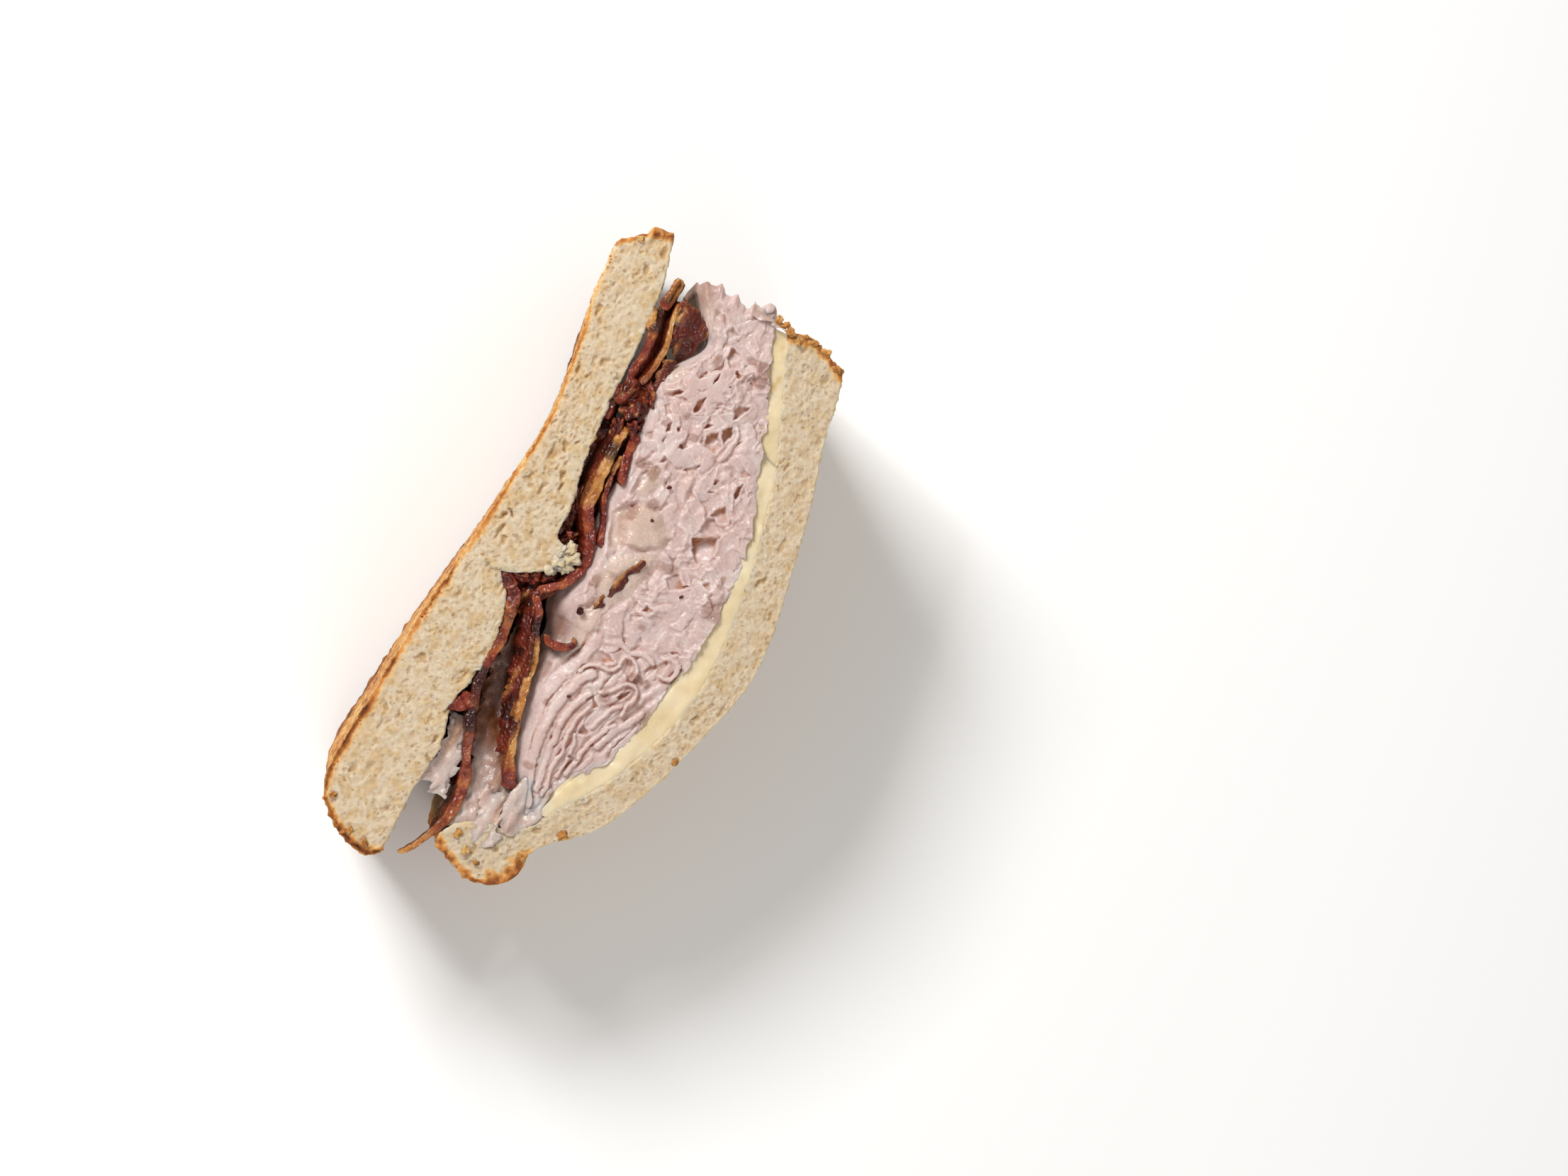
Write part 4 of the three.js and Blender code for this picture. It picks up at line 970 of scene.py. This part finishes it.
def off_segment(u, v, start, end):
    """How far each place lies from a straight line, in millimetres."""
    (au, av), (du, dv) = start, np.subtract(end, start)
    share = np.clip(((u - au) * du + (v - av) * dv) / (du * du + dv * dv), 0, 1)
    return np.hypot(u - au - share * du, v - av - share * dv)


def far_from(u, v, line):
    """How far each place lies from a smooth curve, in millimetres."""
    path = smooth(line, 40)
    return np.min([off_segment(u, v, *ends) for ends in zip(path[:-1], path[1:])], 0)


def inside_of(u, v, outline):
    """How far inside an outline each place lies, in millimetres, and negative outside it."""
    corners = np.array(outline)
    sides = list(zip(corners, np.roll(corners, -1, 0)))
    nearest = np.min([off_segment(u, v, *ends) for ends in sides], 0)
    inside = np.zeros(np.shape(u), bool)
    for (au, av), (bu, bv) in sides:
        if av != bv:
            inside ^= ((av > v) != (bv > v)) & (u < (bu - au) * (v - av) / (bv - av) + au)
    return np.where(inside, nearest, -nearest)


def turned(u, v, angle):
    """The places along and across a direction on the cut, whose angle from the u axis is in radians."""
    cos, sin = math.cos(angle), math.sin(angle)
    return u * cos + v * sin, v * cos - u * sin


def tongues(u, v, seed):
    """Overlapping tongues of meat seen from above: the highest of many flat lobes, each with its own slope.

    In the low clump they are long and fan out along the cut; above it they lie every way and are short."""
    rng = np.random.default_rng(seed)
    height = np.full(np.shape(u), -9.0)
    for middle_u, middle_v in ((a, b) for a in np.arange(-50, 62, 2.5) for b in np.arange(-2, 37, 1.9)):
        cu, cv = middle_u + rng.uniform(-1.3, 1.3), middle_v + rng.uniform(-1, 1)
        low = float(ramp(-cu, 4, 13))
        fan = -10 + 30 * min(max((cv - 11) / 15, 0), 1)
        turn = math.radians(low * fan + (1 - low) * -12 + rng.normal(0, 36 - 28 * low))
        half_long = rng.uniform(2.0, 4.6) * (1 + low)
        half_wide = rng.uniform(1.0, 2.3) * (1 - 0.4 * low)
        top = -0.9 + 1.25 * rng.uniform() ** 0.8 - 0.4 * low
        slope_a, slope_b = rng.normal(0, 0.08), rng.normal(0, 0.2)
        bend = rng.normal(0, 0.05) * (1 - 0.6 * low)
        near = (np.abs(u - cu) < half_long + 1) & (np.abs(v - cv) < half_long + 1)
        if near.any():
            a, b = turned(u[near] - cu, v[near] - cv, turn)
            b = b + bend * a * a
            share = (np.abs(a / half_long) ** 2.5 + np.abs(b / half_wide) ** 2.5) ** 0.4
            wall = ramp((1 - share) * half_wide, -0.1, 0.35)
            lobe = top + slope_a * a + slope_b * b + 0.35 * np.sqrt(np.clip(1 - share, 0, 1))
            height[near] = np.maximum(height[near], lobe * wall - 3.0 * (1 - wall))
    return height


def blurred(grid, reach):
    """The grid with each value the mean of those around it."""
    for axis in (0, 1):
        padded = np.pad(grid, [(reach, reach) if k == axis else (0, 0) for k in (0, 1)], mode="edge")
        total = np.cumsum(np.insert(padded, 0, 0, axis=axis), axis=axis)
        span, length = 2 * reach + 1, grid.shape[axis]
        grid = (np.take(total, range(span, span + length), axis) - np.take(total, range(length), axis)) / span
    return grid


def turkey_relief(u, v):
    """Height of the turkey's cut face in millimetres, and how much dressing lies on it."""
    wu, wv = warped(u, v, (0.9, 5, 40), (0.3, 1.7, 41), (0.14, 0.7, 42))
    floor = -0.95 - 0.8 * ramp(-u, 6, 13)
    height = FLATTER * np.maximum(tongues(wu, wv, 43), floor + 0.35 * noise(u / 2, v / 2, 0, 44))
    for k, turn in enumerate((15, 70, 125)):
        a, b = turned(wu, wv, math.radians(turn))
        crest = (1 - np.abs(noise(a / 3.6, b / 1.15, k, 52))) ** 4
        height = height + 0.42 * crest * ramp(noise(u / 5, v / 5, k, 53), -0.15, 0.35) * ramp(u, -14, -4)
    lu, lv = warped(u, v, (0.22, 1.7, 45), (0.12, 0.6, 46))
    sauce = np.zeros_like(u)
    for outline, rise, soft, dressing in PILLOWS:
        inside = inside_of(lu, lv, outline)
        share = ramp(inside, -0.3, 0.9)
        crown = rise - 0.6 + 0.6 * np.sqrt(ramp(inside, 0, soft)) + 0.45 * noise(u / 3.2, v / 2.6, rise, 47)
        height = height * (1 - share) + crown * share - 0.35 * ramp(-inside, 0.9, 0) * (1 - share)
        sauce = sauce * (1 - share) + dressing * share
    edges = [(far_from(lu, lv, line), half, rise) for line, half, rise in EDGE_FOLDS]
    height = height - SHALLOWER * np.max([ramp(far - half, 1.0, 0.1) for far, half, _ in edges], 0)
    for far, half, rise in edges:
        wall = ramp(half - far, -0.1, 0.25)
        crown = rise - 0.35 * (far / half) ** 2 + 0.15 * noise(u / 2.5, v / 2.5, 3, 48)
        height = np.maximum(height, crown * wall - 3.0 * (1 - wall))
    height = height + 0.6 * noise(u / 10, v / 10, 0, 51)
    uneven = 0.25 * noise(u / 1.4, v / 1.4, 2, 57)
    for outline, depth, *slopes in POCKETS:
        inside = inside_of(lu, lv, outline)
        slope_u, slope_v = slopes or (0, 0)
        middle_u, middle_v = np.mean(outline, 0)
        floor = uneven - SHALLOWER * depth - slope_u * (u - middle_u) - slope_v * (v - middle_v)
        down = ramp(inside, -0.1, 0.3)
        height = height * (1 - down) + np.minimum(floor, -0.3) * down
        height = height + 0.2 * ramp(-inside, 0.8, 0.1) * (1 - down)
    return height + 0.05 * fbm(u / 0.6, v / 0.6, 0, 2, 58), sauce


def turkey_edges():
    """The curves round the turkey's face: its side along the bacon, its side on the cheese, and its ends."""
    low, high = smooth(TURKEY_INNER), by_u(CHEESE_INNER)
    low = low - np.stack([0 * low[:, 0], np.interp(low[:, 0], *zip(*FLANK))], -1)
    high = high[(high[:, 0] > -45) & (high[:, 0] < 56)] + (0, OVER_CHEESE)
    high_end = smooth([tuple(low[-1]), *TURKEY_HIGH_END, tuple(high[-1])])
    return low, high, np.linspace(low[0], high[0], 20), high_end


def turkey_face(s, t):
    """The turkey's face: where the points of a grid lie, how high they stand, and their marks."""
    u, v = np.moveaxis(patch(*turkey_edges(), s, t), -1, 0)
    wide = np.hypot(u[:, -1] - u[:, 0], v[:, -1] - v[:, 0])[:, None]
    flank = np.interp(u, *zip(*FLANK))
    height, sauce = turkey_relief(u, v)
    # The side along the bacon falls away smoothly.
    side = np.clip(1 - t * wide / (1.5 * flank + 1.5), 0, 1)
    fall = (1.2 + 1.1 * flank) * side ** 1.6
    calm = ramp(side, 0.15, 0.5)
    height = height * (1 - calm) - fall - 3.0 * ramp(s, 0.965, 1.02) ** 2
    height = height + calm * (0.5 * noise(u / 7, v / 1.6, 0, 59) + 0.2 * noise(u / 2.5, v, 0, 60))

    # painted shade: darker where the face lies below its surroundings, and down the side that falls away
    shade = np.clip(0.02 + 0.62 * (blurred(height, 7) - height) + 0.1 * ramp(fall, 1, 4), 0, 1)
    # painted shade: browner down the side that falls away, in the low half
    flank_shade = ramp(-u, 4, 12) * ramp(fall, 1.4, 4.4) * (0.75 + 0.25 * noise(u / 4, v / 2, 0, 61))
    band = 0.5 * ramp(far_from(u, v, BROWN_LINE), 0.45, 0.2)
    tan = 0.45 * ramp(u, 48.5, 53) * ramp(v + 0.15 * (55 - u), 4.6, 0.5)
    # browned line, tip and spots, and the painted shade down the falling side
    brown_and_shade = np.maximum.reduce([flank_shade, band, tan, 0.5 * ramp(noise(u / 3, v / 3, 3, 64), 0.66, 0.84)])

    ragged_v = 0.5 * noise(u / 2.4, v / 2.4, 0, 62) + 0.2 * noise(u / 0.9, v / 0.9, 0, 63)
    ragged_u = 0.9 * noise(u / 9, v / 1.6, 0, 65) + 0.5 * noise(u / 9, v / 0.7, 0, 66)
    u, v = u + ragged_u * ramp(s, 0.96, 1), v + ragged_v * ramp((1 - t) * wide, 1.8, 0)
    return u, v, height, {"shade": shade, "sauce": sauce, "brown_and_shade": brown_and_shade}


def turkey_core():
    """The heap as one closed surface, dense on the cut face and open at its unseen underside."""
    values = even(510), even(136)
    face_u, face_v, height, marks = turkey_face(*np.meshgrid(*values, indexing="ij"))
    s, t, r, quads = box_surface(*values, dense_start(12, 0.02, 1.6))
    place = tuple(np.rint(x * (len(grid) - 1)).astype(int) for x, grid in zip((s, t), values))
    u, v, depth, near_top = face_u[place], face_v[place], r * TURKEY_DEPTH, ramp(r, 0.12, 0.0)
    layers = 0.5 * noise(v / 1.3, depth * 4, u / 30, 67) * (r > 0) * ramp(np.minimum(s, 1 - s), 0.02, 0)
    q = depth - np.minimum(height[place], 0.9) / CUT_DEPTH * near_top
    marks = {mark: face[place] * (r <= 0 if mark == "sauce" else near_top) for mark, face in marks.items()}
    return seat_faces(u + layers, v, q, without_base(r, quads)) + (marks,)


def without_base(r, quads):
    """The faces but for those at the unseen deep end."""
    return quads[~(r[quads] >= 1).all(1)]


def hanging_sheet(near, far, top_at, seed):
    """The folds of turkey below a loose sheet, down into the sandwich, with painted shade: darker and browner
    the deeper they lie.
    """
    s, t, r, quads = box_surface(even(100), even(26), dense_start(10, 0.05, 1.5))
    low, high = smooth(near), smooth(far)
    u, v = patch(low, high, np.linspace(low[0], high[0], 12), np.linspace(low[-1], high[-1], 12), s, t).T
    height = 2.2 * noise(u / 9, v / 2.6, 0, seed) + 0.8 * noise(u / 3, v / 1.7, 0, seed + 1)
    top = along_list(top_at, s) - height / CUT_DEPTH
    # painted shade: darker and browner with depth
    marks = {"shade": np.clip(0.3 + top * 2.0, 0, 1), "sauce": np.zeros_like(u),
             "brown_and_shade": np.clip(0.35 + top * 2.4 + 0.3 * noise(u / 5, v / 3, 0, seed + 2), 0, 0.9)}
    return seat_faces(u, v, top + (SHEET_DEPTH - top) * r, without_base(r, quads)) + (marks,)


def loose_sheet(near, far, near_q, far_q, brown_and_shade, seed, **shape):
    """A single shaved slice whose face shows."""
    points, quads, u, v, s, rim = broad_mesh(near, far, near_q, far_q, SHAVED, seed, **shape)
    # how much browner along its length: browned tips on the heap's ends, painted shade on the low sheet deep
    # by the bacon
    tint = along_list(brown_and_shade, s) + 0.3 * noise(u / 6, v / 2.5, 0, seed + 7)
    marks = {"shade": np.clip(0.25 + 0.4 * noise(u / 7, v / 1.6, 0, seed + 8), 0, 1), "sauce": 0.3 + 0 * u,
             "brown_and_shade": np.clip(tint - 0.15 * rim, 0, 0.95)}
    return points, quads, marks


def build_turkey():
    """The heap with its two loose ends, and the sheets on both sides of the hanging strip."""
    material = turkey_material()
    heap = [
        turkey_core(),
        loose_sheet([(-41, 15.4), (-46, 14.4), (-53, 15.6)], [(-41, 21.6), (-47, 21.6), (-52.2, 18.6)],
                    (0.022, 0.012, 0.004), (0.022, 0.012, 0.004), (0.1, 0.1, 0.35), 82,
                    curl=0.9, ridge=(9, 1.9), ragged=0.45, count=(70, 46)),
        loose_sheet([(57.7, 9.2), (57.8, 12.9), (57.2, 17.2)], [(55.9, 10.2), (55.6, 14), (55.8, 16.8)],
                    (0, 0.005, 0.01), (-0.012, -0.012, -0.008), (0.1, 0.3, 0.4), 83,
                    curl=0.6, ridge=(1.6, 3), count=(60, 26)),
    ]
    low = [
        hanging_sheet([(-19, -0.2), (-30, 0.2), (-39, 3), (-47, 6), (-54.5, 7)],
                      [(-19, 4.6), (-30, 8), (-39, 11.4), (-46, 15.5), (-51.4, 18.6)],
                      (0.26, 0.18, 0.12, 0.07), 71),
        # painted shade: this sheet browner towards its deep end beside the bacon
        loose_sheet([(-13, 0.2), (-20, -0.2), (-30, 0.2), (-39, 2.8), (-47, 5.9), (-56.5, 6.6)],
                    [(-13, 3.4), (-21, 4.8), (-30, 7.8), (-39, 11.6), (-46, 15.2), (-55.8, 15.6)],
                    (0.13, 0.14, 0.13, 0.09, 0.03, 0.01), (0.14, 0.15, 0.14, 0.09, 0.03, 0.01),
                    (1, 1, 0.95, 0.75, 0.3, 0.1), 72, curl=1.1, ridge=(18, 2.6), ragged=0.7, count=(170, 46)),
        loose_sheet([(-46, 9.6), (-51, 10.2), (-57.4, 12)], [(-46, 14.4), (-51, 15.2), (-55.6, 16.8)],
                    (0.02, 0, 0), (0.03, 0, 0), (0.1, 0, 0), 73, curl=0.8, ridge=(11, 2), ragged=0.8),
    ]
    side = [
        hanging_sheet([(-38.8, -1.4), (-44, -1), (-50, -1.2)], [(-38.8, 0.6), (-44, 2.4), (-50, 3.6)],
                      (0.16, 0.16), 75),
        loose_sheet([(-37, -2.6), (-44, -1.4), (-51, -1.8)], [(-37, 0.8), (-44, 3), (-52, 4.6)],
                    (0.07, 0.03, 0.02), (0.07, 0.04, 0.03), (0.5, 0.15, 0), 76,
                    curl=0.8, ridge=(9, 1.8), ragged=0.8),
    ]
    for node, parts in (("turkey", heap), ("turkey_sheet_low", low), ("turkey_sheet_side", side)):
        points, quads, marks = joined(parts)
        piece(node + "_folds", points, quads, material, nodes=[node], marks=marks)


# ---- stage, light and camera ----
FLOOR_HALF = 1.6
LIT_POINT = (0, 0, 0.04)  # what the lights look at, metres


def build_stage():
    corners = FLOOR_HALF * np.array([(-1, -1, 0), (1, -1, 0), (1, 1, 0), (-1, 1, 0)])
    pale = Shader("floor", Roughness=0.9).finish(colour("f4f3f1"))
    piece("floor", corners, [(0, 1, 2, 3)], pale, body=None)
    world = bpy.data.worlds.new("studio")
    bpy.context.scene.world = world
    world.use_nodes = True
    world.node_tree.nodes["Background"].inputs["Color"].default_value = (1, 1, 1, 1)
    world.node_tree.nodes["Background"].inputs["Strength"].default_value = 0.4


def softbox(name, place, size, power):
    """A square light that looks at the sandwich."""
    light = bpy.data.lights.new(name, "AREA")
    light.size, light.energy = size, power
    obj = bpy.data.objects.new(name, light)
    bpy.context.scene.collection.objects.link(obj)
    obj.location = place
    obj.rotation_euler = (Vector(LIT_POINT) - Vector(place)).to_track_quat("-Z", "Y").to_euler()


def build_lights():
    softbox("key", (0.25, 0.6, 0.7), 0.3, 7.9)
    softbox("fill", (-0.7, -0.4, 0.7), 0.6, 3.0)
    softbox("sparkle", (0.1, 0.5, 0.8), 0.05, 0.6)


IMAGE_WIDTH, IMAGE_HEIGHT = 2212, 1659
SENSOR_MM, LENS_MM = 36.0, 85.0
PIXELS_PER_MM = 7.5  # at the cut face
CUT_PIXEL = (790, 770)  # where u = v = 0 lies in the picture
CUT_TURN = math.radians(61)  # the cut's direction in the picture, above the horizontal
VIEW_LEAN = math.radians(1.8)  # how far the view leans over to the grilled slice


def build_camera():
    focal = LENS_MM / SENSOR_MM * IMAGE_WIDTH
    away = focal / PIXELS_PER_MM * MM
    tilt = Matrix.Rotation(-CUT_SKEW, 3, "Y")
    towards = tilt @ Vector((0, math.sin(VIEW_LEAN), math.cos(VIEW_LEAN)))
    right = tilt @ Vector((math.cos(CUT_TURN), -math.sin(CUT_TURN), 0))
    right = (right - towards * right.dot(towards)).normalized()
    up = towards.cross(right)
    dx, dy = CUT_PIXEL[0] - IMAGE_WIDTH / 2, IMAGE_HEIGHT / 2 - CUT_PIXEL[1]
    seen = (right * dx + up * dy - towards * focal).normalized()
    turn = seen.rotation_difference(-towards)
    axes = Matrix([turn @ right, turn @ up, turn @ towards]).transposed()
    origin = Vector(CUT_ORIGIN * MM)
    distance = away * math.hypot(focal, dx, dy) / focal
    camera = bpy.data.cameras.new("camera")
    camera.lens, camera.sensor_width = LENS_MM, SENSOR_MM
    camera.clip_start, camera.clip_end = 0.01, 10
    obj = bpy.data.objects.new("camera", camera)
    obj.matrix_world = Matrix.Translation(origin + towards * distance) @ axes.to_4x4()
    bpy.context.scene.collection.objects.link(obj)
    bpy.context.scene.camera = obj


build_camera()
build_stage()
build_lights()
grilled_crumb, soft_crumb = build_bread()
build_cheese()
bacon = build_bacon()
build_turkey()
crumbs("soft_crumbs", SOFT_CRUMBS, soft_crumb, "toast", 2001)
crumbs("grilled_crumbs", GRILLED_CRUMBS, grilled_crumb, "toast", 2301)
crumbs("specks", SPECKS, bacon, "burnt", 2601)
bpy.context.scene.view_settings.view_transform = "Standard"
